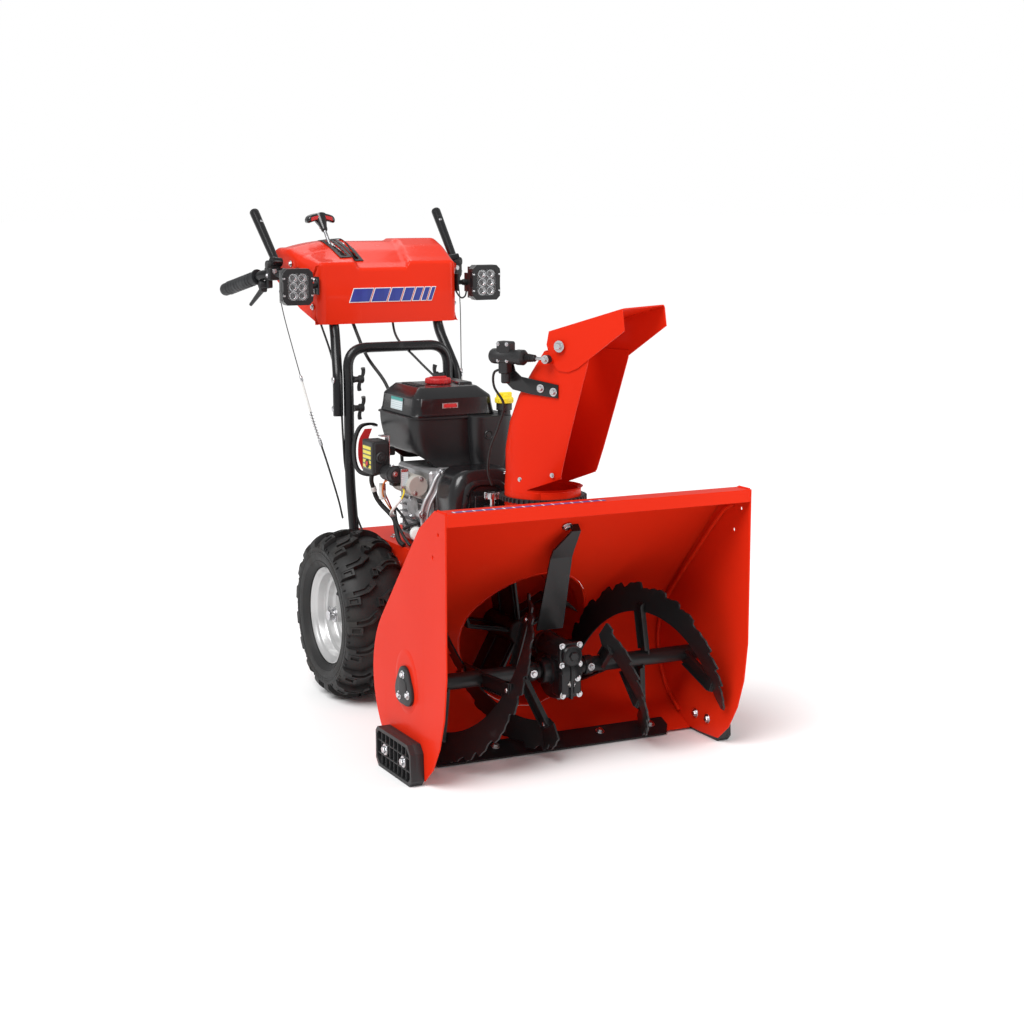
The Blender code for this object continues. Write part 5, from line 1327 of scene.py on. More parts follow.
def frontCover():
    # the belt cover in front of the engine: a rounded shell with a raised arch and a sunken panel
    rows = []
    low, high = 0.3762, 0.5775
    for t, inset in ((0.0, 0.0), (0.2, 0.001), (0.45, 0.003), (0.65, 0.006), (0.8, 0.011), (0.9, 0.019),
            (0.96, 0.028), (1.0, 0.042)):
        z = low + (high - low) * t
        rows.append((z, -0.098 + inset, 0.092 - inset, 0.5455 + inset * 0.45, 0.655, 0.022))
    shapes = [stacked(rows)]
    outline = roundedCorners([(-0.074, 0.38), (-0.07, 0.5), (-0.056, 0.556), (0.044, 0.556), (0.058, 0.5),
        (0.062, 0.38)], 0.03, 9)
    inner = roundedCorners([(-0.055, 0.38), (-0.052, 0.492), (-0.041, 0.5395), (0.029, 0.5395),
        (0.04, 0.492), (0.043, 0.38)], 0.026, 9)
    rings = []
    for outside, inside in zip(outline, inner):
        out_, in_ = np.array(outside), np.array(inside)
        row = []
        for t, lift in ((0.0, 0.004), (0.05, -0.003), (0.3, -0.0058), (0.7, -0.0058), (0.95, -0.003),
                (1.0, 0.004)):
            flat = out_ + (in_ - out_) * t
            lean = 0.45 * max(0.0, (flat[1] - 0.5)) * 0.3
            row.append((flat[0], 0.547 + lift + lean, flat[1]))
        rings.append(row)
    shapes.append(skin(np.array(rings)))
    shapes.append(roundBox((-0.036, 0.5435, 0.384), (0.026, 0.552, 0.52), 0.003))
    piece("belt_cover_shell", shapes, "coverBlack", "belt_cover", sharp=32)
    bolts("belt_cover_bolts", "machine", [((0.083, 0.5465, 0.395), (0, -1, 0), 0.006),
        ((-0.089, 0.5465, 0.395), (0, -1, 0), 0.006), ((0.05, 0.56, 0.5655), (0, 0, 1), 0.0055)])


def switchBox():
    x0, x1, y0, y1, z0, z1 = -0.2, -0.156, 0.755, 0.825, 0.55, 0.63
    shapes = [roundBox((x0, y0 + 0.004, z0), (x1, y1, z1), 0.0045),
        roundBox((x0 + 0.004, y0, z0 + 0.004), (x1 - 0.004, y0 + 0.01, z1 - 0.004), 0.003),
        roundBox((x1 - 0.008, 0.79, 0.59), (-0.128, 0.81, 0.61), 0.004),
        turned([(0.0135, 0.0), (0.0135, 0.004), (0.0115, 0.0065), (0.0075, 0.0065), (0.0065, 0.009)],
        (-0.18, y0 + 0.0005, 0.592), (0, -1, 0), 36),
        roundBox((-0.1835, y0 - 0.0125, 0.5885), (-0.1765, y0 - 0.004, 0.5955), 0.0015)]
    piece("switch_housing", shapes, "plasticBlack", "switch_box", sharp=32)
    piece("switch_edge_plate", [roundBox((x1 - 0.002, y0 + 0.006, 0.556),
        (x1 + 0.0014, y0 + 0.03, 0.6415), 0.0008),
        roundBox((x1 - 0.02, y0 + 0.008, 0.6395), (x1 + 0.0014, y0 + 0.028, 0.6425), 0.0008)], "zinc")
    piece("switch_label", [roundBox((x0 - 0.0006, 0.77, 0.561), (x0 + 0.0012, 0.818, 0.6175), 0.0004,
        count=3)], "yellowLabel")
    piece("button_ring", [turned([(0.0062, 0.0), (0.0105, 0.0), (0.0105, 0.0014), (0.0095, 0.0022),
        (0.0068, 0.0022), (0.0062, 0.0014)], (x0 - 0.0004, 0.79, 0.575), (-1, 0, 0), 36, loop=True)],
        "plasticBlack", slot="plastic_black")
    piece("button_top", [turned([(0.0058, 0.0), (0.0058, 0.005), (0.005, 0.0062), (0.002, 0.0064)],
        (-0.197, 0.79, 0.575), (-1, 0, 0), 28)], "capRed", "starter_button")
    # hoop guard behind the box, with a red web inside its curve
    hoop = smoothPath([(-0.128, 0.912, 0.648), (-0.15, 0.892, 0.655), (-0.184, 0.872, 0.652),
        (-0.201, 0.868, 0.62), (-0.203, 0.866, 0.575), (-0.193, 0.86, 0.546), (-0.17, 0.84, 0.54),
        (-0.15, 0.826, 0.548)], 7)
    piece("guard_hoop", [carried(np.array([(-0.0045, -0.003), (0.0045, -0.003), (0.0052, 0),
        (0.0045, 0.003), (-0.0045, 0.003), (-0.0052, 0)]), hoop)], "plasticBlack", slot="plastic_black")
    web = smoothPath([(-0.176, 0.866, 0.647), (-0.192, 0.864, 0.62), (-0.195, 0.862, 0.58),
        (-0.187, 0.858, 0.552)], 7)
    flat = []
    for t, point in zip(np.linspace(0, 1, len(web)), web):
        wide = 0.018 + 0.006 * math.sin(math.pi * t)
        flat.append([point, point + (0, -0.003, 0), point + (wide, -0.003, 0), point + (wide, 0, 0)])
    piece("guard_web", [skin(np.array(flat))], "capRed")


engineCovers()
fillerCaps()
crankcase()
starter()
frontCover()
switchBox()


# exhaust, recoil starter, chute motor and wiring
def exhaust():
    dressed("muffler", "hot", 0.0015)
    shapes = []
    for k in range(7):
        z = 0.446 + 0.0135 * k
        shapes.append(roundBox((0.1618, 0.752, z), (0.1668, 0.848, z + 0.0055), 0.0012, count=3))
    shapes.append(roundBox((0.16, 0.742, 0.437), (0.1635, 0.858, 0.544), 0.0012))
    piece("muffler_guard", shapes, "plasticBlack", slot="plastic_black")
    piece("muffler_pipe", [turned([(0.01, 0.0), (0.0135, 0.0), (0.0135, 0.016), (0.01, 0.016)],
        (0.13, 0.7355, 0.515), (0, -1, 0), 32, loop=True)], "hot")
    bolts("muffler_bolts", "machine", [((0.164, 0.748, 0.441), (1, 0, 0), 0.0045),
        ((0.164, 0.852, 0.441), (1, 0, 0), 0.0045), ((0.164, 0.748, 0.539), (1, 0, 0), 0.0045),
        ((0.164, 0.852, 0.539), (1, 0, 0), 0.0045)])


def recoil():
    dressed("recoil_housing", "plasticBlack", 0.0014)
    shapes = []
    for k in range(14):
        a = 2 * math.pi * k / 14
        shapes.append(roundBox((0.03, 0.9065, -0.0016), (0.05, 0.9128, 0.0016), 0.001, count=3,
            shape=lambda p, a=a: np.column_stack([p[:, 0] * math.cos(a) - p[:, 2] * math.sin(a), p[:, 1],
            0.49 + p[:, 0] * math.sin(a) + p[:, 2] * math.cos(a)])))
    shapes = [shape for k, shape in enumerate(shapes) if k not in (0, 7)]
    shapes.append(turned([(0.056, 0.0), (0.0585, 0.0015), (0.0585, 0.004), (0.056, 0.005)],
        (0, 0.898, 0.49), (0, 1, 0), 48))
    piece("recoil_louvres", shapes, "plasticBlack", slot="plastic_black")
    places = []
    for k in range(4):
        a = math.radians(45 + 90 * k)
        places.append(((0.0655 * math.cos(a), 0.878, 0.49 + 0.0655 * math.sin(a)), (0, 1, 0), 0.0042))
    bolts("recoil_bolts", "machine", places)

    def grip(points):
        # a bar a little thinner at its middle, where the rope comes in
        waist = 1 - 0.14 * np.exp(-(points[:, 0] / 0.018) ** 2)
        middle = np.array((0, 0.9225, 0.49))
        return np.column_stack([points[:, 0], middle[1] + (points[:, 1] - middle[1]) * waist, middle[2]
            + (points[:, 2] - middle[2]) * waist])
    piece("recoil_bar", [roundBox((-0.05, 0.9135, 0.481), (0.05, 0.9315, 0.499), 0.0072, count=12,
        shape=grip), roundBox((-0.008, 0.8998, 0.4842), (0.008, 0.916, 0.4958), 0.0025)], "grip",
        "recoil_handle")
    # on the real starter the rope is wound inside when the handle is home and pays out of the port
    # as it is pulled; here it is one short straight piece, attached to no body
    rope = np.column_stack([np.zeros(14), np.linspace(0.8925, 0.911, 14), np.full(14, 0.49)])
    made = piece("recoil_rope", [pipe(rope, 0.0022, 12)], "hose", body="between")
    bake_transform(made)


def chuteMotor():
    dressed("chute_motor", "plasticBlack", 0.0012)
    low, high = (np.array(corner) - (0, frontEdge, 0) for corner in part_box("chute_motor"))
    x, y = (low + high)[:2] / 2
    bolts("chute_motor_bolts", "machine", [((x - 0.012, low[1] + 0.0002, high[2] - 0.016), (0, -1, 0),
        0.0035), ((x + 0.012, low[1] + 0.0002, high[2] - 0.016), (0, -1, 0), 0.0035)])


def cable(name, points, radius, finish="hose", perLeg=8):
    return piece(name, [pipe(smoothPath(points, perLeg), radius, 12)], finish)


exhaust()
recoil()
chuteMotor()
cable("harness_top", [(-0.182, 0.806, 0.552), (-0.181, 0.815, 0.53), (-0.174, 0.822, 0.512)], 0.0055)
cable("harness_sleeve", [(-0.1745, 0.8215, 0.513), (-0.17, 0.824, 0.502)], 0.0072, "whiteNylon")
cable("harness_low", [(-0.171, 0.8235, 0.503), (-0.164, 0.826, 0.486), (-0.152, 0.82, 0.466),
    (-0.14, 0.806, 0.45), (-0.131, 0.795, 0.434), (-0.13, 0.785, 0.408), (-0.132, 0.765, 0.388),
    (-0.128, 0.745, 0.379)], 0.0058)
cable("loom_black", [(-0.128, 0.8, 0.458), (-0.133, 0.775, 0.43), (-0.13, 0.742, 0.402),
    (-0.122, 0.722, 0.382)], 0.0036)
cable("loom_second", [(-0.126, 0.795, 0.462), (-0.121, 0.765, 0.444), (-0.117, 0.735, 0.416),
    (-0.112, 0.712, 0.384)], 0.003)
cable("wire_red", [(-0.16, 0.752, 0.548), (-0.166, 0.77, 0.53), (-0.158, 0.79, 0.505),
    (-0.146, 0.796, 0.48), (-0.134, 0.798, 0.455)], 0.0021, "capRed")
cable("wire_orange", [(-0.166, 0.744, 0.54), (-0.172, 0.762, 0.528), (-0.164, 0.784, 0.498),
    (-0.15, 0.792, 0.474), (-0.136, 0.794, 0.452)], 0.0018, "orangeWire")
cable("wire_yellow", [(-0.15, 0.698, 0.531), (-0.15, 0.69, 0.516), (-0.155, 0.694, 0.5)], 0.002,
    "capYellow")
cable("wire_white", [(-0.1548, 0.6938, 0.501), (-0.164, 0.706, 0.484), (-0.168, 0.722, 0.468),
    (-0.158, 0.75, 0.455), (-0.14, 0.775, 0.448)], 0.0034, "whiteNylon")
cable("plug_lead", [(-0.098, 0.705, 0.43), (-0.112, 0.692, 0.44), (-0.128, 0.7, 0.436),
    (-0.134, 0.725, 0.424), (-0.126, 0.75, 0.42)], 0.0036)
cable("throttle_wire", [(0.1125, 0.7, 0.6), (0.116, 0.686, 0.575), (0.113, 0.658, 0.54),
    (0.104, 0.618, 0.512), (0.09, 0.58, 0.48), (0.086, 0.566, 0.44)], 0.0014)
piece("plug_boot", [turned([(0.0075, 0.0), (0.0085, 0.003), (0.0085, 0.02), (0.0055, 0.026)],
    (-0.084, 0.712, 0.424), (-1, -0.45, 0.4), 28)], "hose")
piece("harness_plug", [roundBox((-0.169, 0.786, 0.486), (-0.155, 0.8, 0.524), 0.0025)], "whiteNylon",
      body="machine")
piece("fuel_bowl", [turned([(0.008, 0.0), (0.0155, 0.002), (0.016, 0.016), (0.012, 0.024),
    (0.006, 0.025)], (-0.12, 0.69, 0.418), (-0.35, -0.94, 0), 36)], "whiteNylon")
dressed("drive_belt", "hose", 0.0004)
dressed("crank_pulley", "cast", 0.0006)
print("engine made")


# tractor, handle tubes and knobs
handle = {"tube": 0.0127, "hoopX": 0.136, "hoopTop": 0.823, "hoopY": 1.073, "outer": 0.162,
          "gripA": (0.268, 1.3, 0.999), "gripB": (0.316, 1.49, 0.951),
          "leverA": (0.2475, 1.274, 1.031), "leverB": (0.257, 1.41, 1.156), "knobs": (0.745, 0.673)}


def mirrored(points, sign):
    return [(sign * x, y, z) for x, y, z in points]


def handleTubes():
    right = [(-0.143, 1.022, 0.345), (-0.145, 1.046, 0.5), (-handle["hoopX"], 1.068, 0.72)]
    corner = (-handle["hoopX"], handle["hoopY"], handle["hoopTop"])
    half = right + [corner]
    path = half + mirrored(half[::-1], -1)
    path = roundedCorners(path, 0.052, 12)
    piece("hoop_tube", [pipe(path, handle["tube"], 28)], "barBlack", "handle_hoop")
    for sign, tag in sides:
        way = [(0.1655, 1.066, 0.655), (0.162, 1.075, 0.755), (0.142, 1.1427, 0.862),
            (0.146, 1.172, 0.985), (0.228, 1.255, 1.004), handle["gripA"], handle["gripB"]]
        bent = roundedCorners(mirrored(way, sign), 0.022, 10)
        bent[-1] = bent[-1] + (bent[-2] - bent[-1]) * 0.05
        piece("upper_tube_" + tag, [pipe(bent, handle["tube"], 28)], "barBlack", "upper_handle_" + tag)
        grip(sign, tag)
        clutch(sign, tag)
        knobs(sign, tag)


def grip(sign, tag):
    a, b = (np.array(p) * (sign, 1, 1) for p in (handle["gripA"], handle["gripB"]))
    start = a + (b - a) * 0.16
    way = b - start
    length = np.linalg.norm(way)
    way /= length
    rows = [(0.0135, 0.0), (0.0195, 0.0004), (0.0205, 0.0025), (0.02, 0.0055), (0.0168, 0.0075)]
    for t in np.linspace(0.09, 0.9, 18):
        rows.append((0.0166 + 0.0009 * math.sin(math.pi * t) + 0.0003 * math.cos(t * 150), t * length))
    rows += [(0.0166, length - 0.008), (0.0152, length - 0.0035), (0.0125, length - 0.001),
        (0.006, length - 0.0001)]
    shapes = [turned(rows, start, way, 40)]
    across, up, _ = basis(way)
    for k in range(9):
        at = start + way * (0.03 + 0.0135 * k)
        shapes.append(turned([(0.0174, -0.0022), (0.0181, -0.0012), (0.0181, 0.0012), (0.0174, 0.0022)],
            at, way, 40))
    piece("grip_sleeve_" + tag, shapes, "grip", "grip_" + tag, sharp=40)


def clutch(sign, tag):
    a, b = (np.array(p) * (sign, 1, 1) for p in (handle["leverA"], handle["leverB"]))
    way = b - a
    length = np.linalg.norm(way)
    rows = [(0.01, -0.004), (0.0112, -0.001), (0.0105, 0.01)]
    for t in np.linspace(0.12, 0.93, 12):
        rows.append((0.0105 + 0.002 * t, t * length))
    rows += [(0.0122, length - 0.0035), (0.011, length - 0.001), (0.008, length - 0.0002)]
    shapes = [turned(rows, a, way, 36)]
    forward = np.array(handle["gripB"]) - np.array(handle["gripA"])
    axle = np.cross(way, forward * (sign, 1, 1))
    axle /= np.linalg.norm(axle)
    shapes.append(turned([(0.0118, -0.014), (0.0122, -0.012), (0.0122, 0.012), (0.0118, 0.014)], a, axle,
        36))
    piece("clutch_paddle_" + tag, shapes, "barBlack", "clutch_lever_" + tag)
    front = np.cross(axle, way / length)
    front *= -np.sign(front[1])
    at = a + way * 0.74 + front * 0.0118
    bolts("clutch_rivet_" + tag, bodyOf["clutch_lever_" + tag], [(tuple(at), tuple(front), 0.0028)])
    dressed("steering_trigger_" + tag, "plasticBlack", 0.0012)
    # the clamp that carries the paddle and the trigger, with its pinch bolts
    middle = np.array((0.2535, 1.286, 1.003)) * (sign, 1, 1)
    hold = [roundBox(middle - (0.0165, 0.02, 0.0185), middle + (0.0165, 0.018, 0.015), 0.006),
        turned([(0.0105, -0.018), (0.012, -0.015), (0.012, 0.015), (0.0105, 0.018)], middle
        + (0, -0.006, 0.02), (1, 0, 0), 32),
        turned([(0.009, -0.014), (0.01, -0.012), (0.01, 0.012), (0.009, 0.014)],
        np.array((0.2665, 1.312, 0.972)) * (sign, 1, 1), (1, 0, 0), 28),
        roundBox(np.array((sign * 0.2585, 1.3, 0.964)) - (0.007, 0.012, 0),
        np.array((sign * 0.2585, 1.3, 1.0)) + (0.007, 0.012, 0), 0.003)]
    piece("lever_clamp_" + tag, hold, "plasticBlack", slot="plastic_black")
    bolts("lever_clamp_bolts_" + tag, "machine", [
        (tuple(middle + (-0.0165, -0.008, -0.006)), (-1, 0, 0), 0.004),
        (tuple(middle + (0.0165, -0.008, -0.006)), (1, 0, 0), 0.004),
        (tuple(middle + (0.0, -0.02, 0.004)), (0, -1, 0), 0.0042)])


def knobs(sign, tag):
    shapes, places = [], []
    heights = handle["knobs"] if tag == "r" else handle["knobs"][:1]
    for z in heights:
        at = np.array((sign * 0.1225, 1.0685, z))
        inward = np.array((-sign, 0, 0))
        shapes.append(turned([(0.009, 0.0), (0.0075, 0.004), (0.0075, 0.012), (0.0105, 0.015),
            (0.0105, 0.024), (0.0085, 0.026)], at, inward, 28))
        t = np.linspace(-1, 1, 15)
        path = np.column_stack([at[0] - sign * (0.0205 - 0.005 * np.sin(t * 2.4)), np.full(15, at[1])
            + 0.004 * t, z - 0.028 * t])
        shapes.append(carried(ringOf(0.0062, 14) * (1.0, 0.72), path, 0.86 + 0.35 * np.abs(t) ** 1.5))
    for z in handle["knobs"]:
        places.append(((sign * (handle["outer"] + 0.0128), 1.0735, z), (sign, 0, 0), 0.007))
    piece("wing_knobs_" + tag, shapes, "plasticBlack", slot="plastic_black", sharp=40)
    domes = []
    for at, way, size in places:
        domes.append(turned([(size * 1.2, -0.001), (size * 1.2, 0.0008), (size, 0.0028),
            (size * 0.5, 0.0038)], at, way, 28))
    piece("carriage_bolts_" + tag, domes, "zinc", sharp=40)


handleTubes()
dressed("tractor_frame", "redSheet", 0.0009)
dressed("gear_case", "cast", 0.001)
places = []
for sign, tag in sides:
    for y, z in ((0.56, 0.335), (0.66, 0.335), (0.78, 0.33), (0.93, 0.33), (1.006, 0.355)):
        places.append(((sign * 0.1302, y, z), (sign, 0, 0), 0.0062))
for x in (-0.095, 0.095):
    for y in (0.64, 0.88):
        places.append(((x, y, 0.3755), (0, 0, 1), 0.007))
bolts("tractor_bolts", "machine", places)


# dash cowl: one sheet with its side walls, a sunken middle and two slots
dash = {"half": 0.19, "front": 1.125, "rear": 1.362, "sheet": 0.003, "corner": 0.02,
    "top": ((1.362, 1.08), (1.3, 1.0815), (1.235, 1.066), (1.16, 1.0405), (1.127, 1.0315), (1.125, 0.95),
    (1.127, 0.879)), "foot": ((1.362, 1.003), (1.129, 0.8795)),
    "gates": ((-0.1, 1.1755, 1.3105), (-0.066, 1.183, 1.303)), "sink": 0.015}


def dashPath(step=0.0045):
    path = roundedCorners([(0, y, z) for y, z in dash["top"]], 0.0055, 7)[:, 1:]
    far = np.concatenate([[0], np.cumsum(np.linalg.norm(np.diff(path, axis=0), axis=1))])
    at = np.linspace(0, far[-1], int(far[-1] / step))
    fine = np.stack([np.interp(at, far, path[:, k]) for k in range(2)], axis=1)
    way = np.gradient(fine, axis=0)
    way /= np.linalg.norm(way, axis=1)[:, None]
    return fine, np.stack([way[:, 1], -way[:, 0]], axis=1), at / at[-1]


def dashTop(y):
    # height of the cowl's middle line at y
    line = dashPath(0.002)[0]
    line = line[line[:, 0] > 1.13]
    line = line[np.argsort(line[:, 0])]
    return np.interp(y, line[:, 0], line[:, 1])


def dashLift(x, y, z):
    # the middle sinks between two humps: deepest at the front edge, shallow at the back
    front = np.clip((z - 0.965) / 0.045, 0, 1)
    back = 1 - 0.62 * np.clip((y - 1.13) / 0.2, 0, 1)
    leftEdge = -0.086 + 0.03 * np.clip((y - 1.13) / 0.15, 0, 1)
    rightEdge = 0.053 + 0.034 * np.clip((y - 1.13) / 0.15, 0, 1)
    inside = np.clip((x - leftEdge) / 0.012 + 0.5, 0, 1) * np.clip((rightEdge - x) / 0.012 + 0.5, 0, 1)
    inside = inside * inside * (3 - 2 * inside)
    crown = (0.004 - 0.02 * np.clip(-x / 0.19, 0, 1) ** 2.6) * np.clip((y - 1.135) / 0.09, 0, 1)
    return crown - dash["sink"] * inside * front * back


def dashGrid(columns):
    path, out, t = dashPath()
    normals = np.where((out @ np.array((-1.0, 1.0)))[:, None] < 0, -out, out)
    (y0, z0), (y1, z1) = dash["foot"]
    foot = np.stack([y0 + (y1 - y0) * t, z0 + (z1 - z0) * t], axis=1)
    r = dash["corner"]
    rows = []
    for p, n, q in zip(path, normals, foot):
        half = dash["half"] + (p[0] - dash["front"]) * 0.13
        low = dash["half"] + (q[0] - dash["front"]) * 0.13
        row = []
        near = p - n * r
        for k in np.linspace(0, 1, 7)[:-1]:
            row.append((-(low + (half - low) * k), *(q + (near - q) * k)))
        for a in np.radians(np.linspace(0, 90, 8)):
            row.append((-half + r * (1 - math.cos(a)), *(p - n * r * (1 - math.sin(a)))))
        inner = half - r
        row += [(x * inner, *p) for x in columns]
        row += [(-x, y, z) for x, y, z in row[:14][::-1]]
        rows.append(row)
    grid = np.array(rows)
    grid[..., 2] += dashLift(grid[..., 0], grid[..., 1], grid[..., 2])
    return grid


def dashCowl():
    columns = np.linspace(-1, 1, 74)[1:-1]
    grid = dashGrid(columns)
    middle = (grid[:-1, :-1] + grid[1:, 1:]) / 2
    keep = np.ones(middle.shape[:2], bool)
    for x, first, last in dash["gates"]:
        keep &= ~((np.abs(middle[..., 0] - x) < 0.008) & (middle[..., 1] > first - 0.003)
            & (middle[..., 1] < last + 0.003) & (middle[..., 2] > 1.03))
    piece("dash_cowl", [sheet(grid, keep, dash["sheet"])], "redPlastic", "dash_panel", sharp=48)
    # gates: dark plates over the slots, their inner edges toothed
    shapes = []
    for x, first, last in dash["gates"]:
        y = np.arange(first - 0.012, last + 0.013, 0.0015)
        across = np.concatenate([np.linspace(x - 0.0155, x - 0.0078, 7),
            np.linspace(x - 0.006, x + 0.006, 8), np.linspace(x + 0.0078, x + 0.0155, 7)])
        gx, gy = np.meshgrid(across, y)
        gz = dashTop(gy)
        plate = np.stack([gx, gy, gz + dashLift(gx, gy, gz) + 0.0012], axis=2)
        mid = (plate[:-1, :-1] + plate[1:, 1:]) / 2
        tooth = np.where(np.sin((mid[..., 1] - first) / 0.0215 * 2 * math.pi) > 0, 0.008, 0.0062)
        open_ = (np.abs(mid[..., 0] - x) < tooth) & (mid[..., 1] > first - 0.004) & (mid[..., 1] < last
            + 0.004)
        shapes.append(sheet(plate, ~open_, 0.0016))
    piece("shift_gates", shapes, "plasticBlack", slot="plastic_black", sharp=45)
    well = []
    for x, first, last in dash["gates"]:
        for sign, edge in ((-1, -0.0125), (1, 0.0195 if x < -0.09 else 0.03)):
            y = np.linspace(first - 0.006, last + 0.006, 12)
            near = x + sign * (0.005 if x < -0.09 else 0.0)
            line = dashTop(y) + dashLift(np.full(12, x), y, np.full(12, 1.03)) - 0.0125
            lines = [np.column_stack([np.full(12, at), y, line + lift]) for at,
                lift in ((x + edge, 0), (near, 0), (near, -0.002), (x + edge, -0.002))]
            well.append(skin(np.array(lines).transpose(1, 0, 2)))
    piece("gate_seals", well, "hose")
    pips = []
    for x, first, last in dash["gates"]:
        for k in range(5):
            y = first + 0.013 + 0.026 * k
            pips.append((x + 0.0122, y))
    dots = []
    for x, y in pips:
        z = float(dashTop(y))
        z += float(dashLift(np.array(x), np.array(y), np.array(z))) + 0.0012
        dots.append(roundBox((x - 0.0013, y - 0.003, z - 0.0005), (x + 0.0013, y + 0.003, z + 0.0004),
            0.0002, count=2))
    piece("gate_marks", dots, "whiteDecal")
    # stripes on the front face, in place of a name
    blue, white = [], []
    for k, (start, width) in enumerate(((-0.102, 0.052), (-0.044, 0.04), (0.002, 0.031), (0.039, 0.024),
            (0.069, 0.018), (0.093, 0.013), (0.112, 0.009))):
        def slant(points):
            # leans to the right as it rises
            return np.column_stack([points[:, 0] + (points[:, 2] - 0.948) * 0.36, points[:, 1],
                points[:, 2]])
        white.append(roundBox((start - 0.0016, 1.1236, 0.932), (start + width + 0.0016, 1.1258, 0.968),
            0.0003, count=3, shape=slant))
        blue.append(roundBox((start, 1.1231, 0.9338), (start + width, 1.1254, 0.9662), 0.0003, count=3,
            shape=slant))
    piece("dash_stripes_white", white, "whiteDecal")
    piece("dash_stripes_blue", blue, "blueDecal")
    screws = []
    for sign, tag in sides:
        for y, z in ((1.27, 1.026), (1.158, 0.922)):
            half = dash["half"] + (y - dash["front"]) * 0.13
            screws.append(((sign * (half + 0.0003), y, z), (sign, 0, 0), 0.0052))
    bolts("dash_screws", "machine", screws)
    rings = []
    for sign, tag in sides:
        rings.append(turned([(0.0132, -0.006), (0.0185, -0.005), (0.019, 0.0), (0.0185, 0.005),
            (0.0132, 0.006)], (sign * 0.2055, 1.2315, 0.9985), (sign * 0.7, 0.71, 0.16), 36, loop=True))
    piece("tube_grommets", rings, "hose")


def shifter():
    foot = np.array((-0.1, 1.205, 1.0))
    lean = np.array((0, 0.7071, 0.7071))
    shapes = [pipe([foot, foot + lean * 0.08, foot + lean * 0.18], 0.0045, 18),
        turned([(0.009, -0.009), (0.01, -0.008), (0.01, 0.008), (0.009, 0.009)], foot, (1, 0, 0), 24)]
    piece("shift_rod", shapes, "shaft", "shift_lever")
    rows = [(0.0062, 0.15), (0.0085, 0.154), (0.009, 0.162), (0.012, 0.176), (0.0165, 0.19),
        (0.0185, 0.199)]
    centre = foot + lean * 0.199

    def crown(points):
        # a lens, wider than it is deep, that droops at both ends
        x = points[:, 0] - centre[0]
        return np.column_stack([points[:, 0], points[:, 1], points[:, 2] - 6.5 * x * x])
    top = [turned(rows, foot, lean, 32),
        roundBox(centre - (0.0385, 0.015, 0.0085), centre + (0.0385, 0.015, 0.0105), 0.0085, count=12,
        shape=crown)]
    piece("shift_knob", top, "coverBlack", body="shifter", slot="plastic_black")
    inlay = [roundBox(centre - (0.029, 0.0163, 0.0045), centre + (0.029, -0.014, 0.005), 0.0022, count=12,
        shape=crown), roundBox(centre + (-0.0075, -0.0188, -0.03), centre + (0.0075, -0.013, -0.005),
        0.0025, count=5)]
    piece("shift_inlay", inlay, "capRed", body="shifter")


dashCowl()
shifter()


# work lamps
lamp = {"x": 0.256, "y": 1.112, "z": 0.976, "half": (0.0385, 0.0225, 0.0445)}


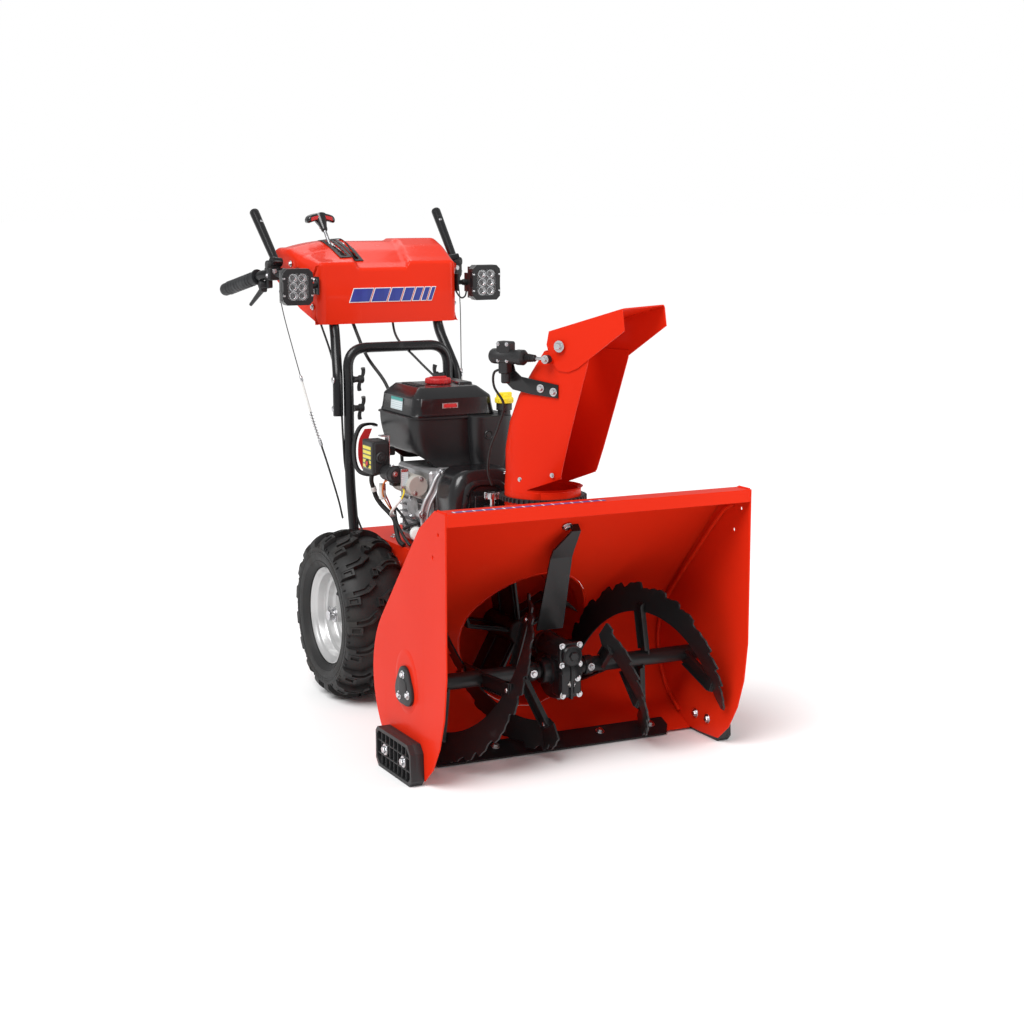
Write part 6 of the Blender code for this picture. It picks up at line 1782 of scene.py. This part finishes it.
def workLamp(sign, tag):
    centre = np.array((sign * lamp["x"], lamp["y"], lamp["z"]))
    hx, hy, hz = lamp["half"]
    body = bodyOf["lamp_" + tag]
    corner = 0.01
    octagon = np.array([(-hx + corner, -hz), (hx - corner, -hz), (hx, -hz + corner), (hx, hz - corner),
        (hx - corner, hz), (-hx + corner, hz), (-hx, hz - corner), (-hx, -hz + corner)])
    octagon = octagon + (centre[0], centre[2])
    front, rear = centre[1] - hy, centre[1] + hy
    shapes = [slab(octagon, front + 0.0075, rear - 0.014, 0.0012, plane("y")),
        steppedRing(octagon, 0.0115, front, front + 0.01, plane("y"))]
    for k in range(9):
        x = centre[0] - 0.032 + 0.008 * k
        shapes.append(roundBox((x - 0.0012, rear - 0.018, centre[2] - 0.04),
            (x + 0.0012, rear, centre[2] + 0.04), 0.0009, count=3))
    for side in (-1, 1):
        shapes.append(roundBox((centre[0] + side * 0.0355 - 0.0045, front + 0.001, centre[2] - 0.03),
            (centre[0] + side * 0.0355 + 0.0045, front + 0.012, centre[2] - 0.012), 0.0015, count=3))
        shapes.append(roundBox((centre[0] + side * 0.0355 - 0.0045, front + 0.001, centre[2] + 0.012),
            (centre[0] + side * 0.0355 + 0.0045, front + 0.012, centre[2] + 0.03), 0.0015, count=3))
    pivot = np.array((sign * 0.22, lamp["y"] + 0.022, lamp["z"]))
    shapes.append(turned([(0.007, -0.004), (0.0082, -0.002), (0.0082, 0.01), (0.007, 0.0125)], pivot,
        (-sign, 0, 0), 28))
    shapes.append(roundBox(pivot - (0.003, 0.017, 0.024), pivot + (0.003, 0.009, 0.024), 0.0015))
    piece("lamp_case_" + tag, shapes, "powderBlack", "lamp_" + tag, sharp=30)
    cups, chips = [], []
    for column in (-0.5, 0.5):
        for row in (-1, 0, 1):
            at = (centre[0] + column * 0.0235, front + 0.0095, centre[2] + row * 0.0215)
            cups.append(turned([(0.003, 0.0), (0.0055, 0.0012), (0.0084, 0.004), (0.0097, 0.0078),
                (0.0105, 0.0078), (0.0105, -0.0015), (0.003, -0.0015)], at, (0, -1, 0), 32, loop=True))
            chips.append(turned([(0.0032, -0.0012), (0.0032, 0.0008), (0.0026, 0.0016), (0.0012, 0.0019)],
                at, (0, -1, 0), 20))
    piece("lamp_cups_" + tag, cups, "mirror", body=body, sharp=35)
    piece("lamp_chips_" + tag, chips, "lampChip", body=body)
    piece("lamp_board_" + tag, [roundBox((centre[0] - 0.029, front + 0.0072, centre[2] - 0.0375),
        (centre[0] + 0.029, front + 0.0088, centre[2] + 0.0375), 0.0006)], "powderBlack", body=body)
    piece("lamp_pane_" + tag, [roundBox((centre[0] - 0.0305, front + 0.0006, centre[2] - 0.0385),
        (centre[0] + 0.0305, front + 0.0016, centre[2] + 0.0385), 0.0004)], "glass", body=body)
    bolts("lamp_screws_" + tag, body, [((centre[0] + side * 0.0358, front + 0.001, centre[2] + up
        * 0.021), (0, -1, 0), 0.0026) for side in (-1, 1) for up in (-1, 1)])
    # its bracket on the dash, and the lead that loops down from the case
    half = dash["half"] + (pivot[1] - dash["front"]) * 0.13
    piece("lamp_bracket_" + tag, [roundBox((sign * half - 0.0012, pivot[1] - 0.011, lamp["z"] - 0.022),
        (sign * half + 0.0028, pivot[1] + 0.019, lamp["z"] + 0.022), 0.001),
        turned([(0.006, -0.001), (0.006, 0.0135)], (sign * (half + 0.002), pivot[1], lamp["z"]),
        (sign, 0, 0), 24)], "powderBlack", slot="plastic_black")
    bolts("lamp_bracket_bolts_" + tag, "machine", [
        ((sign * (half + 0.0028), pivot[1] + 0.012, lamp["z"] + 0.014), (sign, 0, 0), 0.0036),
        ((sign * (half + 0.0028), pivot[1] + 0.012, lamp["z"] - 0.014), (sign, 0, 0), 0.0036)])
    lead = [(sign * half, pivot[1] + 0.02, lamp["z"] - 0.004),
        (sign * (half + 0.006), pivot[1] + 0.012, lamp["z"] - 0.026),
        (sign * (half + 0.016), pivot[1] + 0.006, lamp["z"] - 0.04),
        (sign * (half + 0.026), pivot[1] + 0.004, lamp["z"] - 0.036),
        (sign * (half + 0.03), pivot[1] + 0.003, lamp["z"] - 0.022)]
    cable("lamp_lead_" + tag, lead, 0.0021)


for sign, tag in sides:
    workLamp(sign, tag)


# clutch cables and rods
def clutchCable(sign, tag):
    run = [(-0.2495, 1.246, 0.96), (-0.2485, 1.238, 0.93), (-0.243, 1.222, 0.88), (-0.228, 1.187, 0.78),
           (-0.208, 1.14, 0.65), (-0.188, 1.093, 0.54), (-0.172, 1.06, 0.45), (-0.165, 1.047, 0.4)]
    path = smoothPath(mirrored(run, -sign), 12)
    count = len(path)
    thin, spring = int(count * 0.46), int(count * 0.66)
    shapes = [pipe(path, 0.0012, 10), pipe(path[spring - 2:], 0.0025, 12)]
    piece("clutch_wire_" + tag, shapes, "hose", "clutch_cable_" + tag)
    piece("clutch_conduit_" + tag, [pipe(path[thin:spring - 8], 0.003, 14)], "whiteNylon")
    length = np.linspace(0, 1, 190)
    piece_ = path[spring - 9:spring]
    line = np.stack([np.interp(length, np.linspace(0, 1, len(piece_)), piece_[:, k]) for k in range(3)],
        axis=1)
    across, up, _ = basis(piece_[-1] - piece_[0])
    a = length * 2 * math.pi * 11
    coil = line + 0.0042 * (np.cos(a)[:, None] * across + np.sin(a)[:, None] * up)
    piece("clutch_spring_" + tag, [pipe(coil, 0.0008, 7)], "zinc")
    ferrule = path[spring - 1] - path[spring - 3]
    piece("clutch_ferrule_" + tag, [turned([(0.003, 0.0), (0.0046, 0.001), (0.0046, 0.016),
        (0.003, 0.018)], path[spring - 2], ferrule, 20),
        turned([(0.0026, -0.016), (0.0038, -0.014), (0.0038, -0.002), (0.0026, 0.0)], path[thin],
        -ferrule, 20)], "zinc")


for sign, tag in sides:
    clutchCable(sign, tag)
cable("speed_rod", [(-0.098, 1.158, 0.905), (-0.092, 1.15, 0.885), (-0.074, 1.1, 0.8),
    (-0.052, 1.03, 0.735), (-0.04, 0.99, 0.66), (-0.038, 0.965, 0.56), (-0.04, 0.95, 0.44),
    (-0.042, 0.945, 0.378)], 0.0042)
cable("throttle_cable", [(-0.178, 1.16, 0.905), (-0.176, 1.15, 0.88), (-0.16, 1.12, 0.8),
    (-0.152, 1.086, 0.7), (-0.156, 1.06, 0.6), (-0.154, 1.05, 0.52), (-0.138, 1.03, 0.42),
    (-0.128, 1.01, 0.372)], 0.0026)
cable("steering_cable", [(0.15, 1.16, 0.905), (0.152, 1.15, 0.88), (0.16, 1.11, 0.79), (0.15, 1.09, 0.66),
    (0.12, 1.05, 0.52), (0.1, 1.0, 0.42), (0.095, 0.985, 0.378)], 0.0026)
cable("steering_cable_sleeve", [(0.1525, 1.149, 0.878), (0.157, 1.125, 0.83), (0.16, 1.112, 0.795)], 0.0042,
      "zinc")
cable("chute_lead", [(0.02, 1.16, 0.9), (0.022, 1.13, 0.84), (0.04, 1.04, 0.79), (0.1, 0.96, 0.7),
    (0.128, 0.93, 0.6), (0.134, 0.9, 0.52), (0.12, 0.72, 0.4), (0.07, 0.6, 0.384), (-0.01, 0.545, 0.42),
    (-0.026, 0.53, 0.47)], 0.003)
print("handles, dash and lamps made")

plain = {"paint_red": "redSheet", "plastic_red": "redPlastic", "cap_red": "capRed",
    "paint_black": "powderBlack", "plastic_black": "plasticBlack", "rubber": "hose", "tyre": "tyre",
    "rim_silver": "rim", "steel": "zinc", "cast": "cast", "cap_yellow": "capYellow"}
for node, thing in frame["nodes"].items():
    if not thing.hide_render:
        dressed(node, plain[slotOf[node]])


# floor, light and camera
studio = {"floor": (0.985, 0.985, 0.985), "backdrop": 1.0, "ambient": 0.42, "sun": 2.6, "softness": 38.0,
          "key": 12.0, "fill": 55.0, "rim": 18.0,
          "eye": (-1.879, -3.366, 1.224), "azimuth": 26.36, "down": 9.72, "focal": 67.2}


def stageSet():
    floor = bpy.data.meshes.new("floor")
    reach = 60.0
    floor.from_pydata([(-reach, -reach, 0), (reach, -reach, 0), (reach, reach, 0), (-reach, reach, 0)],
        [], [(0, 1, 2, 3)])
    paint = Paint("studio_floor", Specular_IOR_Level=0.05)
    tone = paint.noise(1.2, 2.0)
    floor.materials.append(paint.done(paint.mix(tone * 0.5, studio["floor"], (0.975, 0.975, 0.978)), 0.8))
    ground = bpy.data.objects.new("floor", floor)
    bpy.context.scene.collection.objects.link(ground)

    # white behind the object, a dimmer and even light on it
    world = bpy.data.worlds.new("studio")
    world.use_nodes = True
    tree = world.node_tree
    sky = tree.nodes["Background"]
    sky.inputs["Color"].default_value = (1, 1, 1, 1)
    rays = tree.nodes.new("ShaderNodeLightPath")
    level = tree.nodes.new("ShaderNodeMapRange")
    level.inputs["To Min"].default_value = studio["ambient"]
    level.inputs["To Max"].default_value = studio["backdrop"]
    tree.links.new(rays.outputs["Is Camera Ray"], level.inputs["Value"])
    tree.links.new(level.outputs["Result"], sky.inputs["Strength"])
    bpy.context.scene.world = world
    bpy.context.scene.view_settings.view_transform = "Standard"

    sun = bpy.data.lights.new("overhead", "SUN")
    sun.energy = studio["sun"]
    sun.angle = math.radians(studio["softness"])
    above = bpy.data.objects.new("overhead", sun)
    above.rotation_euler = Vector((0.7, 0.42, -1.0)).to_track_quat("-Z", "Y").to_euler()
    bpy.context.scene.collection.objects.link(above)

    target = Vector((0, 0, 0.45))
    for name, place, size, power in (("key", (-2.2, -2.6, 3.4), 2.4, studio["key"]),
            ("fill", (3.2, -2.4, 1.8), 2.6, studio["fill"]),
            ("rim", (0.4, 3.0, 3.2), 2.2, studio["rim"])):
        lamp = bpy.data.lights.new(name, "AREA")
        lamp.shape = "DISK"
        lamp.size = size
        lamp.energy = power
        holder = bpy.data.objects.new(name, lamp)
        holder.location = place
        holder.rotation_euler = (target - Vector(place)).to_track_quat("-Z", "Y").to_euler()
        bpy.context.scene.collection.objects.link(holder)

    lens = bpy.data.cameras.new("camera")
    lens.sensor_width = 36.0
    lens.lens = studio["focal"]
    eye = bpy.data.objects.new("camera", lens)
    x, y, z = studio["eye"]
    eye.location = (x, y + frontEdge, z)
    eye.rotation_euler = (math.radians(90 - studio["down"]), 0, -math.radians(studio["azimuth"]))
    bpy.context.scene.collection.objects.link(eye)
    bpy.context.scene.camera = eye


stageSet()
